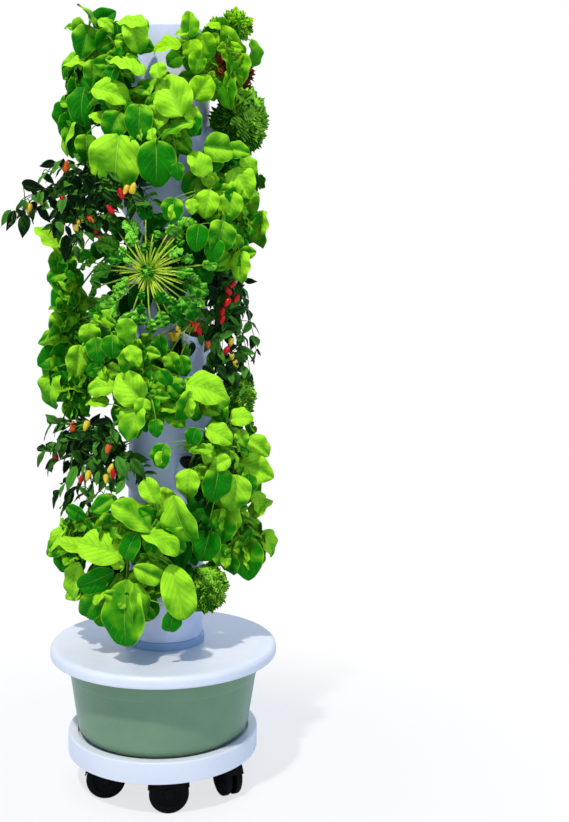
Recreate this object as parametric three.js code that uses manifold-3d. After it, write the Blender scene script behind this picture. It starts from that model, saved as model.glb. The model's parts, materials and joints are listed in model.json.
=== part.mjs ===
// Vertical planter tower: a column of nine growing sections on a wheeled reservoir.
// Millimetres, +Z up. The origin is on the floor, under the axis of the column.

import * as THREE from 'three';
import { mergeVertices } from 'three/addons/utils/BufferGeometryUtils.js';
import Module from 'manifold-3d';

const wasm = await Module();
wasm.setup();

// Fits between pieces and the overrun of a cut
const fit = 0.3;
const overrun = 6;
const runningGap = 0.5;

// Sides of round forms
const bigSides = 24;
const columnSides = 20;
const podSides = 8;
const netPotSides = 6;
const wheelSides = 12;
const smallSides = 8;
const portSides = 12;
const stemSides = 6;
const hoodSides = 6;
const dripSides = 5;
const arcSteps = 2;

// Casters: twin wheels that trail behind a vertical stem
const casterCount = 6;
const casterInset = 66.5;
const casterPhase = THREE.MathUtils.degToRad(-74);
const casterRestTurns = [16, -54, 16, 16, 16, 16].map(THREE.MathUtils.degToRad);
const wheelRadius = 51;
const wheelWidth = 18;
const wheelEdge = 4;
const wheelDish = 6;
const wheelHubRadius = 14;
const axleRadius = 4;
const casterTrail = 15;
const webThickness = 12;
const webGap = 0.6;
const hoodGap = 1.2;
const hoodThickness = 3;
const hoodStart = THREE.MathUtils.degToRad(20);
const hoodEnd = THREE.MathUtils.degToRad(165);
const stemRadius = 5.5;
const stemLength = 22;
const stemShoulderRadius = 10;
const stemShoulderHeight = 9;

// Dolly tray
const trayMargin = 21.5;
const traySkirtDrop = 43;
const trayWall = 5;
const trayRingWidth = 26;
const trayRecess = 13;
const trayFloor = 4;
const trayEdge = 4;
const traySocketRadius = 12;
const trayRibHeight = 18;
const trayRibThickness = 4;
const trayHubRadius = 70;

// Reservoir tub
const tubHeight = 244;
const tubWall = 4;
const tubRimRadius = 268;
const tubFlare = 33;
const tubKneeSpread = 57;
const tubKneeHeight = 36;
const tubBandDrop = 77;
const tubBandStep = 2;
const tubRimFlange = 10;
const tubRimThickness = 5;

// Reservoir lid
const lidOverhang = 37;
const lidThickness = 4;
const lidRimHeight = 32;
const lidRimRoll = 15;
const lidRimClear = 1;
const portRadius = 34;
const portFlange = 7;
const portFlangeThickness = 3;
const portPlugDepth = 12;
const portKnobRadius = 12;
const portKnobHeight = 14;

// Column
const sectionCount = 9;
const sectionPitch = 172;
const columnRadius = 102;
const columnWall = 4;
const spigotDepth = 12;
const spigotWall = 3;
const socketDraft = 0.4;
const podsPerSection = 4;
const podTilt = THREE.MathUtils.degToRad(54);
const podRadius = 31;
const podWall = 3;
const podTopMargin = 4;
const podLength = 96;

// Collar and top cap
const collarMargin = 6;
const collarHeight = 20;
const collarSeat = 3;
const collarSpigotWall = 5;
const collarSpigotDrop = 3;
const collarEdge = 3;
const capHeight = 60;
const capEdge = 8;
const capWall = 4;

// Water: pump, riser and distributor
const pumpLength = 84;
const pumpWidth = 62;
const pumpHeight = 66;
const pumpCorner = 12;
const pumpFootRadius = 8;
const pumpFootHeight = 7;
const pumpFloor = 5;
const chamberRadius = 24;
const chamberHeight = 22;
const chamberOffset = 18;
const inletRadius = 12;
const outletRadius = 5;
const nozzleRadius = 11;
const nozzleHeight = 16;
const impellerGap = 2;
const impellerBlades = 5;
const impellerDisc = 3;
const impellerHubRadius = 6;
const bladeThickness = 3;
const shaftRadius = 3;
const shaftLength = 16;
const riserRadius = 10;
const riserWall = 2;
const discMargin = 3;
const discThickness = 3;
const discRim = 8;
const discRimWall = 2.5;
const discSleeve = 14;
const discSleeveWall = 3;
const dripHoles = 6;
const dripRadius = 3.5;
const discTopClear = 6;

// Net pots and plants
const netPotDepth = 50;
const netPotBaseRadius = 18;
const netPotLip = 2.5;
const stemThickness = 9;
const crownLift = 60;
const crownBack = 5;
const canopyHalfWidth = 320;
const plantSpread = 185;
const plantRise = 175;
const plantDrop = 175;
const leafGap = 1;
const cellMargin = 88;
const cellLift = 24;

// Radii that follow the reservoir's rim and the column
const tubKneeRadius = tubRimRadius - tubFlare;
const tubBaseRadius = tubKneeRadius - tubKneeSpread;
const trayRadius = tubKneeRadius + trayMargin;
const casterRingRadius = trayRadius - casterInset;
const lidRadius = tubRimRadius + lidOverhang;
const collarRadius = columnRadius + collarMargin;
const portRingRadius = (tubRimRadius + collarRadius) / 2;
const cellRadius = columnRadius + cellMargin;

// Heights that stack up from the floor
const axleHeight = wheelRadius * Math.cos(Math.PI / wheelSides);
const stemShoulderTop = axleHeight + wheelRadius + hoodGap + hoodThickness + stemShoulderHeight;
const socketBottom = stemShoulderTop + fit;
const trayFloorBottom = socketBottom + stemLength;
const trayFloorTop = trayFloorBottom + trayFloor;
const trayTop = trayFloorTop + trayRecess;
const traySkirtBottom = trayFloorTop - traySkirtDrop;
const tubBottom = trayFloorTop + fit;
const tubTop = tubBottom + tubHeight;
const tubTaper = tubFlare / (tubHeight - tubKneeHeight);
const lidBottom = tubTop + fit;
const lidTop = lidBottom + lidThickness;
const columnBase = lidTop + fit + collarSeat + fit;
const sectionHeight = sectionPitch - fit;
const capBase = columnBase + sectionCount * sectionPitch;
const boreTopRadius = columnRadius - columnWall;
const spigotRadius = boreTopRadius * Math.cos(Math.PI / columnSides) - socketDraft - fit;
const boreBottomRadius = spigotRadius - spigotWall;
const collarSpigotRadius = boreTopRadius + collarSpigotWall;
const lidHoleRadius = around(collarSpigotRadius + fit, bigSides);
const podBoreRadius = podRadius - podWall;
const mouthRadius = columnRadius + podRadius * Math.sin(podTilt);
const mouthHeight = sectionHeight - podTopMargin - podRadius * Math.cos(podTilt);
const podTipRadius = mouthRadius + podRadius * Math.sin(podTilt);
const netPotTopRadius = podBoreRadius * Math.cos(Math.PI / podSides) - fit;
const pumpBottom = tubBottom + tubWall + fit;
const pumpTop = pumpBottom + pumpFootHeight + pumpHeight;
const nozzleTop = pumpTop + nozzleHeight;
const discBottom = capBase - spigotDepth - discTopClear - discRim;

// Colours
const paint = {
  white: { color: 0xf1f3f7, roughness: 0.32 },
  green: { color: 0x6f9a74, roughness: 0.28 },
  black: { color: 0x151618, roughness: 0.55 },
  pump: { color: 0x24272b, roughness: 0.5 },
  pipe: { color: 0xdfe3e6, roughness: 0.4 },
};

// Solids

function toSolid(geometry) {
  const bare = geometry.clone();
  bare.deleteAttribute('normal');
  bare.deleteAttribute('uv');
  const merged = mergeVertices(bare);
  const position = merged.getAttribute('position');
  const index = merged.index.array;
  const corners = [];
  for (let i = 0; i < index.length; i += 3) {
    const [a, b, c] = [index[i], index[i + 1], index[i + 2]];
    if (a !== b && b !== c && c !== a) corners.push(a, b, c);
  }
  const build = (list) => new wasm.Manifold(new wasm.Mesh({
    numProp: 3,
    vertProperties: new Float32Array(position.array),
    triVerts: new Uint32Array(list),
  }));
  const solid = build(corners);
  if (solid.volume() > 0) return solid;
  return build(corners.reverse());
}

function toGeometry(solid) {
  const mesh = solid.getMesh();
  const geometry = new THREE.BufferGeometry();
  geometry.setAttribute('position', new THREE.BufferAttribute(mesh.vertProperties, 3));
  geometry.setIndex(new THREE.BufferAttribute(mesh.triVerts, 1));
  const flat = geometry.toNonIndexed();
  flat.computeVertexNormals();
  return flat;
}

function turned(points, sides) {
  const profile = points.map(([radius, height]) => new THREE.Vector2(radius, height));
  return new THREE.LatheGeometry(profile, sides, Math.PI / sides).rotateX(Math.PI / 2);
}

function revolve(points, sides) {
  return toSolid(turned(points, sides));
}

// The corner radius of a many-sided hole that clears a round piece of this radius
function around(radius, sides) {
  return radius / Math.cos(Math.PI / sides);
}

function rod(radius, bottom, top, sides) {
  return revolve([[0, bottom], [radius, bottom], [radius, top], [0, top]], sides);
}

function arc(centreRadius, centreHeight, radius, from, to) {
  const curve = new THREE.EllipseCurve(centreRadius, centreHeight, radius, radius, from, to, from > to);
  return curve.getPoints(arcSteps).map((point) => [point.x, point.y]);
}

function moved(solid, matrix) {
  return toSolid(toGeometry(solid).applyMatrix4(matrix));
}

function turnedAbout(solid, angle) {
  return moved(solid, new THREE.Matrix4().makeRotationZ(angle));
}

function shifted(solid, x, y, z) {
  return moved(solid, new THREE.Matrix4().makeTranslation(x, y, z));
}

function block(length, width, height) {
  return toSolid(new THREE.BoxGeometry(length, width, height));
}

function named(name, solid, look) {
  const mesh = new THREE.Mesh(toGeometry(solid), new THREE.MeshStandardMaterial({ metalness: 0, ...look }));
  mesh.name = name;
  return mesh;
}

// Casters

function casterAngle(index) {
  return casterPhase + (index * 2 * Math.PI) / casterCount;
}

function wheelPair() {
  const inner = webThickness / 2 + webGap;
  const outer = inner + wheelWidth;
  const half = [
    [axleRadius, inner],
    [wheelRadius, inner],
    [wheelRadius, outer - wheelEdge],
    [wheelRadius - wheelEdge, outer],
    [wheelHubRadius, outer - wheelDish],
    [0, outer - wheelDish],
  ];
  const mirrored = half.map(([radius, height]) => [radius, -height]).reverse();
  const lengthwise = turned([...mirrored, ...half], wheelSides);
  return toSolid(lengthwise.rotateX(Math.PI / 2).translate(casterTrail, 0, axleHeight));
}

function casterHousing() {
  const width = webThickness + 2 * (webGap + wheelWidth);
  const axleBoreRadius = around(axleRadius + runningGap, stemSides);
  const inner = around(wheelRadius + hoodGap, (hoodSides * 2 * Math.PI) / (hoodEnd - hoodStart));
  const outer = inner + hoodThickness;
  const hood = new THREE.Shape();
  hood.absarc(0, 0, outer, hoodStart, hoodEnd, false);
  hood.absarc(0, 0, inner, hoodEnd, hoodStart, true);
  const web = new THREE.Shape();
  web.absarc(0, 0, (inner + outer) / 2, hoodStart, hoodEnd, false);
  web.absarc(0, 0, wheelHubRadius, hoodEnd, hoodStart + 2 * Math.PI, false);
  const plate = (shape, depth) => {
    const flat = new THREE.ExtrudeGeometry(shape, { depth, bevelEnabled: false, curveSegments: hoodSides });
    return toSolid(flat.translate(0, 0, -depth / 2).rotateX(Math.PI / 2));
  };
  const axleBore = toSolid(new THREE.CylinderGeometry(axleBoreRadius, axleBoreRadius, width, stemSides));
  const body = plate(hood, width).add(plate(web, webThickness)).subtract(axleBore);
  const placed = shifted(body, casterTrail, 0, axleHeight);
  const stemTop = socketBottom + stemLength - fit;
  const neckBottom = stemShoulderTop - stemShoulderHeight - 2 * hoodThickness;
  const stem = revolve([
    [0, neckBottom],
    [stemShoulderRadius, neckBottom],
    [stemShoulderRadius, stemShoulderTop],
    [stemRadius, stemShoulderTop],
    [stemRadius, stemTop],
    [0, stemTop],
  ], stemSides);
  return placed.add(stem.subtract(clearOfWheels()));
}

// The room that the wheels turn in, on both sides of the web
function clearOfWheels() {
  const inner = webThickness / 2;
  const outer = inner + webGap + wheelWidth + overrun;
  const side = (near, far) => {
    const lengthwise = turned([[0, near], [wheelRadius + hoodGap, near], [wheelRadius + hoodGap, far], [0, far]],
      wheelSides);
    return toSolid(lengthwise.rotateX(Math.PI / 2).translate(casterTrail, 0, axleHeight));
  };
  return side(inner, outer).add(side(-outer, -inner));
}

function addCasters(group) {
  const housing = casterHousing();
  const wheels = wheelPair();
  for (let index = 0; index < casterCount; index += 1) {
    const caster = new THREE.Group();
    const angle = casterAngle(index);
    caster.position.set(casterRingRadius * Math.cos(angle), casterRingRadius * Math.sin(angle), 0);
    caster.rotation.z = casterRestTurns[index];
    caster.add(named(`caster_${index + 1}_housing`, housing, paint.black));
    caster.add(named(`caster_${index + 1}_wheels`, wheels, paint.black));
    group.add(caster);
  }
}

// Dolly tray

function dollyTray() {
  const ringInner = trayRadius - trayRingWidth;
  const innerWall = trayRadius - trayWall;
  const shell = revolve([
    [0, trayFloorBottom],
    [innerWall, trayFloorBottom],
    [innerWall, traySkirtBottom],
    [trayRadius, traySkirtBottom],
    ...arc(trayRadius - trayEdge, trayTop - trayEdge, trayEdge, 0, Math.PI / 2),
    [ringInner + trayEdge, trayTop],
    [ringInner, trayTop - trayEdge],
    [ringInner, trayFloorTop],
    [0, trayFloorTop],
  ], bigSides);
  let tray = shell;
  const hub = revolve([
    [trayHubRadius, trayFloorBottom - trayRibHeight],
    [trayHubRadius + trayRibThickness, trayFloorBottom - trayRibHeight],
    [trayHubRadius + trayRibThickness, trayFloorTop - fit],
    [trayHubRadius, trayFloorTop - fit],
    [trayHubRadius, trayFloorBottom - trayRibHeight],
  ], portSides);
  tray = tray.add(hub);
  const socket = rod(traySocketRadius, socketBottom, trayFloorTop - fit, stemSides);
  const bore = rod(around(stemRadius + fit, stemSides), socketBottom - overrun, trayFloorBottom, stemSides);
  const ribLength = innerWall - trayHubRadius;
  const rib = block(ribLength, trayRibThickness, trayRibHeight + trayFloor - fit);
  const ribMiddle = trayHubRadius + trayRibThickness / 2 + ribLength / 2;
  const ribCentre = trayFloorBottom - trayRibHeight + (trayRibHeight + trayFloor - fit) / 2;
  for (let index = 0; index < casterCount; index += 1) {
    const angle = casterAngle(index);
    const [x, y] = [casterRingRadius * Math.cos(angle), casterRingRadius * Math.sin(angle)];
    tray = tray.add(shifted(socket, x, y, 0));
    tray = tray.subtract(shifted(bore, x, y, 0));
    tray = tray.add(turnedAbout(shifted(rib, ribMiddle, 0, ribCentre), angle + Math.PI / casterCount));
  }
  return tray;
}

// Reservoir

function tubOutline() {
  const knee = new THREE.QuadraticBezierCurve(
    new THREE.Vector2(tubBaseRadius, 0),
    new THREE.Vector2(tubKneeRadius - tubWall, 0),
    new THREE.Vector2(tubKneeRadius, tubKneeHeight),
  );
  return knee.getPoints(arcSteps + 1).map((point) => [point.x, point.y]);
}

function reservoirTub() {
  const bandHeight = tubHeight - tubBandDrop;
  const bandRadius = tubKneeRadius + (bandHeight - tubKneeHeight) * tubTaper;
  const outside = tubOutline();
  const inside = outside.map(([radius, height]) => {
    const rise = tubWall * (1 - height / tubKneeHeight);
    return [radius - tubWall * (height / tubKneeHeight), height + rise];
  }).reverse();
  const profile = [
    [0, 0],
    ...outside,
    [bandRadius - tubBandStep, bandHeight - tubBandStep],
    [bandRadius, bandHeight],
    [tubRimRadius, tubHeight - tubRimThickness],
    [tubRimRadius + tubRimFlange, tubHeight - tubRimThickness],
    [tubRimRadius + tubRimFlange, tubHeight],
    [tubRimRadius - tubWall, tubHeight],
    ...inside,
    [0, tubWall],
  ];
  return revolve(profile.map(([radius, height]) => [radius, height + tubBottom]), bigSides);
}

function reservoirLid() {
  const rollCentre = lidRadius - lidRimRoll;
  const lowRadius = around(tubRimRadius + tubRimFlange + lidRimClear, bigSides);
  const lid = revolve([
    [lidHoleRadius, lidBottom],
    [rollCentre - lidThickness, lidBottom],
    ...arc(rollCentre - lidThickness, lidTop - lidRimRoll, lidRimRoll - lidThickness, Math.PI / 2, 0),
    [rollCentre + lidRimRoll - 2 * lidThickness, lidTop - lidRimHeight + lidThickness],
    [lowRadius, lidTop - lidRimHeight + lidThickness],
    [lowRadius, lidTop - lidRimHeight],
    [lidRadius - lidThickness, lidTop - lidRimHeight],
    [lidRadius, lidTop - lidRimHeight + lidThickness],
    ...arc(rollCentre, lidTop - lidRimRoll, lidRimRoll, 0, Math.PI / 2),
    [lidHoleRadius, lidTop],
    [lidHoleRadius, lidBottom],
  ], bigSides);
  const port = rod(portRadius, lidBottom - overrun, lidTop + overrun, portSides);
  return lid.subtract(shifted(port, 0, portRingRadius, 0));
}

function accessPortPlug() {
  const sides = portSides;
  const skirt = portRadius * Math.cos(Math.PI / sides) - fit;
  const seat = lidTop + fit;
  const plug = revolve([
    [0, seat - portPlugDepth],
    [skirt, seat - portPlugDepth],
    [skirt, seat],
    [portRadius + portFlange, seat],
    [portRadius + portFlange, seat + portFlangeThickness],
    [portKnobRadius, seat + portFlangeThickness],
    [portKnobRadius, seat + portKnobHeight],
    [0, seat + portKnobHeight],
  ], sides);
  return shifted(plug, 0, portRingRadius, 0);
}

// Column

function columnCollar() {
  const seat = lidTop + fit;
  const socket = around(columnRadius + fit, columnSides);
  return revolve([
    [boreTopRadius, lidBottom - collarSpigotDrop],
    [collarSpigotRadius, lidBottom - collarSpigotDrop],
    [collarSpigotRadius, seat],
    [collarRadius, seat],
    [collarRadius, seat + collarHeight - collarEdge],
    [collarRadius - collarEdge, seat + collarHeight],
    [socket, seat + collarHeight],
    [socket, seat + collarSeat],
    [boreTopRadius, seat + collarSeat],
    [boreTopRadius, lidBottom - collarSpigotDrop],
  ], columnSides);
}

// A rod along a pod's axis, from the mouth's plane: positive heights are outside the pod
function podFrame(angle) {
  const tilt = new THREE.Matrix4().makeRotationY(Math.PI / 2 - podTilt);
  const place = new THREE.Matrix4().makeTranslation(mouthRadius, 0, mouthHeight);
  const turn = new THREE.Matrix4().makeRotationZ(angle);
  return turn.multiply(place).multiply(tilt);
}

function growingSection() {
  let body = revolve([
    [0, -spigotDepth],
    [spigotRadius, -spigotDepth],
    [spigotRadius, 0],
    [columnRadius, 0],
    [columnRadius, sectionHeight],
    [0, sectionHeight],
  ], columnSides);
  const pod = rod(podRadius, -podLength, 0, podSides);
  const podBore = rod(podBoreRadius, -podLength - overrun, overrun, podSides);
  const angles = Array.from({ length: podsPerSection }, (_, k) => (k * 2 * Math.PI) / podsPerSection);
  for (const angle of angles) body = body.add(moved(pod, podFrame(angle)));
  const bore = revolve([
    [0, -spigotDepth - overrun],
    [boreBottomRadius, -spigotDepth - overrun],
    [boreTopRadius, sectionHeight],
    [boreTopRadius, sectionHeight + overrun],
    [0, sectionHeight + overrun],
  ], columnSides);
  body = body.subtract(bore);
  for (const angle of angles) body = body.subtract(moved(podBore, podFrame(angle)));
  return body;
}

function sectionTurn(level) {
  return level % 2 === 1 ? Math.PI / podsPerSection : 0;
}

function sectionBottom(level) {
  return columnBase + (level - 1) * sectionPitch;
}

function addColumn(group) {
  const section = growingSection();
  for (let level = 1; level <= sectionCount; level += 1) {
    const mesh = named(`growing_section_${level}`, section, paint.white);
    mesh.position.z = sectionBottom(level);
    mesh.rotation.z = sectionTurn(level);
    group.add(mesh);
  }
}

function topCap() {
  return revolve([
    [0, capBase + capHeight - capWall],
    [boreBottomRadius - capEdge, capBase + capHeight - capWall],
    [boreBottomRadius, capBase + capHeight - capWall - capEdge],
    [boreBottomRadius, capBase - spigotDepth],
    [spigotRadius, capBase - spigotDepth],
    [spigotRadius, capBase],
    [columnRadius, capBase],
    ...arc(columnRadius - capEdge, capBase + capHeight - capEdge, capEdge, 0, Math.PI / 2),
    [0, capBase + capHeight],
  ], columnSides);
}

// Water system

function roundedPlate(length, width, corner) {
  const shape = new THREE.Shape();
  const [x, y] = [length / 2 - corner, width / 2 - corner];
  const quarter = Math.PI / 2;
  shape.absarc(x, y, corner, 0, quarter, false);
  shape.absarc(-x, y, corner, quarter, 2 * quarter, false);
  shape.absarc(-x, -y, corner, 2 * quarter, 3 * quarter, false);
  shape.absarc(x, -y, corner, 3 * quarter, 4 * quarter, false);
  return shape;
}

function pumpHousing() {
  const bodyBottom = pumpBottom + pumpFootHeight;
  const outline = roundedPlate(pumpLength, pumpWidth, pumpCorner);
  const plate = new THREE.ExtrudeGeometry(outline, {
    depth: pumpHeight, bevelEnabled: false, curveSegments: arcSteps,
  });
  let housing = toSolid(plate.translate(chamberOffset, 0, bodyBottom));
  housing = housing.add(rod(nozzleRadius, pumpTop - overrun, nozzleTop, smallSides));
  const foot = rod(pumpFootRadius, pumpBottom, bodyBottom + overrun, netPotSides);
  const [footX, footY] = [pumpLength / 2 - pumpCorner, pumpWidth / 2 - pumpCorner];
  for (const [x, y] of [[footX, footY], [-footX, footY], [-footX, -footY], [footX, -footY]]) {
    housing = housing.add(shifted(foot, x + chamberOffset, y, 0));
  }
  const chamberFloor = bodyBottom + pumpFloor;
  const chamberTop = chamberFloor + chamberHeight;
  const shaftBore = around(shaftRadius + runningGap, portSides);
  const inside = revolve([
    [0, bodyBottom - overrun],
    [inletRadius, bodyBottom - overrun],
    [inletRadius, chamberFloor],
    [chamberRadius, chamberFloor],
    [chamberRadius, chamberTop],
    [shaftBore, chamberTop],
    [shaftBore, chamberTop + shaftLength],
    [0, chamberTop + shaftLength],
  ], portSides);
  housing = housing.subtract(shifted(inside, chamberOffset, 0, 0));
  const outlet = rod(outletRadius, chamberTop - overrun, nozzleTop + overrun, smallSides);
  return housing.subtract(outlet);
}

function pumpImpeller() {
  const floor = pumpBottom + pumpFootHeight + pumpFloor + impellerGap;
  const ceiling = floor + chamberHeight - 2 * impellerGap;
  let impeller = revolve([
    [0, floor],
    [impellerHubRadius, floor],
    [impellerHubRadius, ceiling - impellerDisc],
    [chamberRadius - 2 * impellerGap, ceiling - impellerDisc],
    [chamberRadius - 2 * impellerGap, ceiling],
    [shaftRadius, ceiling],
    [shaftRadius, ceiling + shaftLength],
    [0, ceiling + shaftLength],
  ], smallSides);
  const reach = chamberRadius - 2 * impellerGap - bladeThickness;
  const height = ceiling - floor - impellerDisc / 2;
  const blade = shifted(block(reach, bladeThickness, height), reach / 2, 0, floor + height / 2);
  for (let index = 0; index < impellerBlades; index += 1) {
    impeller = impeller.add(turnedAbout(blade, (index * 2 * Math.PI) / impellerBlades));
  }
  return shifted(impeller, chamberOffset, 0, 0);
}

function riserPipe() {
  const bottom = nozzleTop + fit;
  const top = discBottom + discSleeve;
  return revolve([
    [riserRadius - riserWall, bottom],
    [riserRadius, bottom],
    [riserRadius, top],
    [riserRadius - riserWall, top],
    [riserRadius - riserWall, bottom],
  ], smallSides);
}

function distributorDisc() {
  const rim = boreBottomRadius - discMargin;
  const sleeveInner = around(riserRadius + fit, columnSides);
  let disc = revolve([
    [sleeveInner, discBottom],
    [rim, discBottom],
    [rim, discBottom + discRim],
    [rim - discRimWall, discBottom + discRim],
    [rim - discRimWall, discBottom + discThickness],
    [sleeveInner + discSleeveWall, discBottom + discThickness],
    [sleeveInner + discSleeveWall, discBottom + discSleeve],
    [sleeveInner, discBottom + discSleeve],
    [sleeveInner, discBottom],
  ], columnSides);
  const hole = rod(dripRadius, discBottom - overrun, discBottom + discThickness + overrun, dripSides);
  const ringRadius = (rim + sleeveInner) / 2;
  for (let index = 0; index < dripHoles; index += 1) {
    disc = disc.subtract(turnedAbout(shifted(hole, ringRadius, 0, 0), (index * 2 * Math.PI) / dripHoles));
  }
  return disc;
}

// Plants: a net pot in the pod's mouth, a stem, and leaves that spread from the crown

const leafColours = {
  basil: 0x4f9a1c,
  lettuce: 0x8cc63c,
  kale: 0x3f7a25,
  pepper: 0x24491d,
  rosette: 0x6fae2e,
};

// Level, port, kind, then the shares of reach, spread, rise and drop, and the sideways lean
const plantShares = [
  [9, 3, 'lettuce', 0.63, 0.75, 0.75, 0.5, 0.1],
  [9, 2, 'basil', 0.67, 0.7, 0.84, 0.4, 0],
  [8, 3, 'basil', 0.67, 0.9, 0.8, 1, -0.1],
  [8, 0, 'kale', 0.75, 0.7, 0.65, 0.5, 0],
  [8, 2, 'basil', 0.75, 0.7, 1, 0.4, 0.2],
  [7, 3, 'basil', 0.7, 0.95, 0.8, 1, 0.25],
  [7, 2, 'pepper', 1.97, 0.8, 0.5, 0.85, 0],
  [6, 3, 'rosette', 0.62, 1, 0.9, 1, 0],
  [6, 0, 'pepper', 0.62, 0.6, 0.2, 1, 0],
  [6, 2, 'basil', 1.05, 0.7, 0.6, 1, 0.3],
  [5, 3, 'rosette', 0.3, 0.5, 0.5, 0.5, 0],
  [5, 2, 'basil', 0.8, 0.8, 1, 1, 0],
  [4, 3, 'basil', 0.65, 1, 0.4, 0.8, 0],
  [4, 0, 'kale', 0.62, 0.6, 0.4, 0.4, 0],
  [4, 2, 'basil', 0.75, 0.7, 0.75, 0.55, 0.3],
  [3, 3, 'basil', 0.72, 0.8, 0.6, 0.75, 0.3],
  [3, 2, 'pepper', 0.75, 0.8, 0.75, 0.75, 0],
  [2, 3, 'basil', 0.78, 1.1, 0.5, 1.2, -0.2],
  [2, 0, 'basil', 1.05, 0.8, 0.75, 0.95, -0.3],
  [2, 2, 'basil', 0.75, 0.7, 0.55, 0.8, 0],
  [1, 3, 'kale', 0.4, 0.6, 0.35, 0.6, 0],
  [1, 2, 'basil', 0.75, 0.9, 0.75, 0.6, 0],
  [8, 1, 'basil', 0.75, 0.8, 0.7, 0.7, 0],
  [6, 1, 'lettuce', 0.68, 0.8, 0.7, 0.6, 0],
  [4, 1, 'basil', 1.05, 0.8, 0.7, 0.8, 0],
  [2, 1, 'kale', 0.62, 0.8, 0.6, 0.6, 0],
  [7, 0, 'basil', 0.62, 0.7, 0.7, 0.7, 0],
  [5, 1, 'pepper', 0.68, 0.7, 0.6, 0.8, 0],
  [3, 0, 'lettuce', 0.62, 0.7, 0.6, 0.6, 0],
];

// The valleys between the leaves lie this far out, as a share of the leaf tips around them
const valleyShare = 0.56;

function portAngle(level, port) {
  return sectionTurn(level) + (port * 2 * Math.PI) / podsPerSection;
}

function radialPoint(level, port, radius, height) {
  const angle = portAngle(level, port);
  return new THREE.Vector3(radius * Math.cos(angle), radius * Math.sin(angle), sectionBottom(level) + height);
}

// A tuft of leaves: one leaf tip outwards and five around it, with a valley between each three.
// Its back gathers in one point, so that of the icosahedron only the faces in front of it stay.
function tuft(shape) {
  const geometry = new THREE.IcosahedronGeometry(1, 0).rotateY(Math.atan2(2, 1 + Math.sqrt(5)));
  const faces = geometry.getAttribute('position');
  const back = new THREE.Vector3(-1, 0, 0);
  const points = [];
  for (let i = 0; i < faces.count; i += 3) {
    const tips = [0, 1, 2].map((k) => new THREE.Vector3().fromBufferAttribute(faces, i + k));
    const ends = tips.map((tip) => (tip.x > 0 ? tip : back));
    if (ends.filter((end) => end === back).length > 1) continue;
    const valley = tips[0].clone().add(tips[1]).add(tips[2]).normalize().multiplyScalar(valleyShare);
    for (let k = 0; k < 3; k += 1) points.push(ends[k], ends[(k + 1) % 3], valley);
  }
  return toSolid(new THREE.BufferGeometry().setFromPoints(points.map(shape)));
}

// The planes that a plant's leaves stay behind: its neighbours' share of the room, the pods and the canopy
function cellPlanes(level, port) {
  const planes = [];
  const own = radialPoint(level, port, cellRadius, mouthHeight + cellLift);
  for (let other = level - 2; other <= Math.min(level + 2, sectionCount); other += 1) {
    for (let otherPort = 0; otherPort < podsPerSection; otherPort += 1) {
      if (other === level && otherPort === port) continue;
      const next = radialPoint(other, otherPort, cellRadius, mouthHeight + cellLift);
      const normal = next.clone().sub(own).normalize();
      const middle = next.clone().add(own).multiplyScalar(1 / 2).addScaledVector(normal, -leafGap);
      planes.push(new THREE.Plane().setFromNormalAndCoplanarPoint(normal, middle));
    }
  }
  const inward = radialPoint(level, port, -1, 0).setZ(0).normalize();
  planes.push(new THREE.Plane(inward, podTipRadius + leafGap));
  for (const [x, y] of [[1, 0], [-1, 0], [0, 1], [0, -1]]) {
    planes.push(new THREE.Plane(new THREE.Vector3(x, y, 0), -canopyHalfWidth));
  }
  return planes;
}

// A leaf tip that would pass a plane is drawn back along its leaf until it lies on the plane
function drawnBack(crown, tip, planes) {
  let share = 1;
  for (const plane of planes) {
    const start = plane.distanceToPoint(crown);
    const end = plane.distanceToPoint(tip);
    if (end > 0) share = Math.min(share, start / (start - end));
  }
  return crown.clone().lerp(tip, share);
}

function foliage(level, port, reachShare, spreadShare, riseShare, dropShare, leanShare) {
  const angle = portAngle(level, port);
  const outward = new THREE.Vector3(Math.cos(angle), Math.sin(angle), 0);
  const sideways = new THREE.Vector3(-Math.sin(angle), Math.cos(angle), 0);
  const crownRadius = mouthRadius + crownLift * Math.cos(podTilt);
  const crown = radialPoint(level, port, crownRadius, mouthHeight + crownLift * Math.sin(podTilt));
  const reach = reachShare * (canopyHalfWidth - crownRadius);
  const planes = cellPlanes(level, port);
  return tuft((point) => {
    const out = point.x > 0 ? point.x * reach : point.x * crownBack;
    const height = point.z > 0 ? riseShare * plantRise : dropShare * plantDrop;
    const tip = crown.clone()
      .addScaledVector(outward, out)
      .addScaledVector(sideways, (point.y * spreadShare + Math.max(point.x, 0) * leanShare) * plantSpread);
    tip.z += point.z * height;
    return drawnBack(crown, tip, planes);
  });
}

function netPot(level, port) {
  const pot = revolve([
    [0, -netPotDepth],
    [netPotBaseRadius, -netPotDepth],
    [netPotTopRadius, fit],
    [podRadius, fit],
    [podRadius, fit + netPotLip],
    [0, fit + netPotLip],
  ], netPotSides);
  const stem = rod(stemThickness, 0, crownLift, netPotSides / 2);
  const frame = podFrame((port * 2 * Math.PI) / podsPerSection);
  const turn = new THREE.Matrix4().makeRotationZ(sectionTurn(level));
  turn.setPosition(0, 0, sectionBottom(level));
  return moved(pot.add(stem), turn.multiply(frame));
}

function addPlants(group) {
  for (const [level, port, kind, ...shares] of plantShares) {
    const plant = foliage(level, port, ...shares).add(netPot(level, port));
    const look = { color: leafColours[kind], roughness: 0.6 };
    group.add(named(`plant_${level}_${port + 1}`, plant, look));
  }
}

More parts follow.
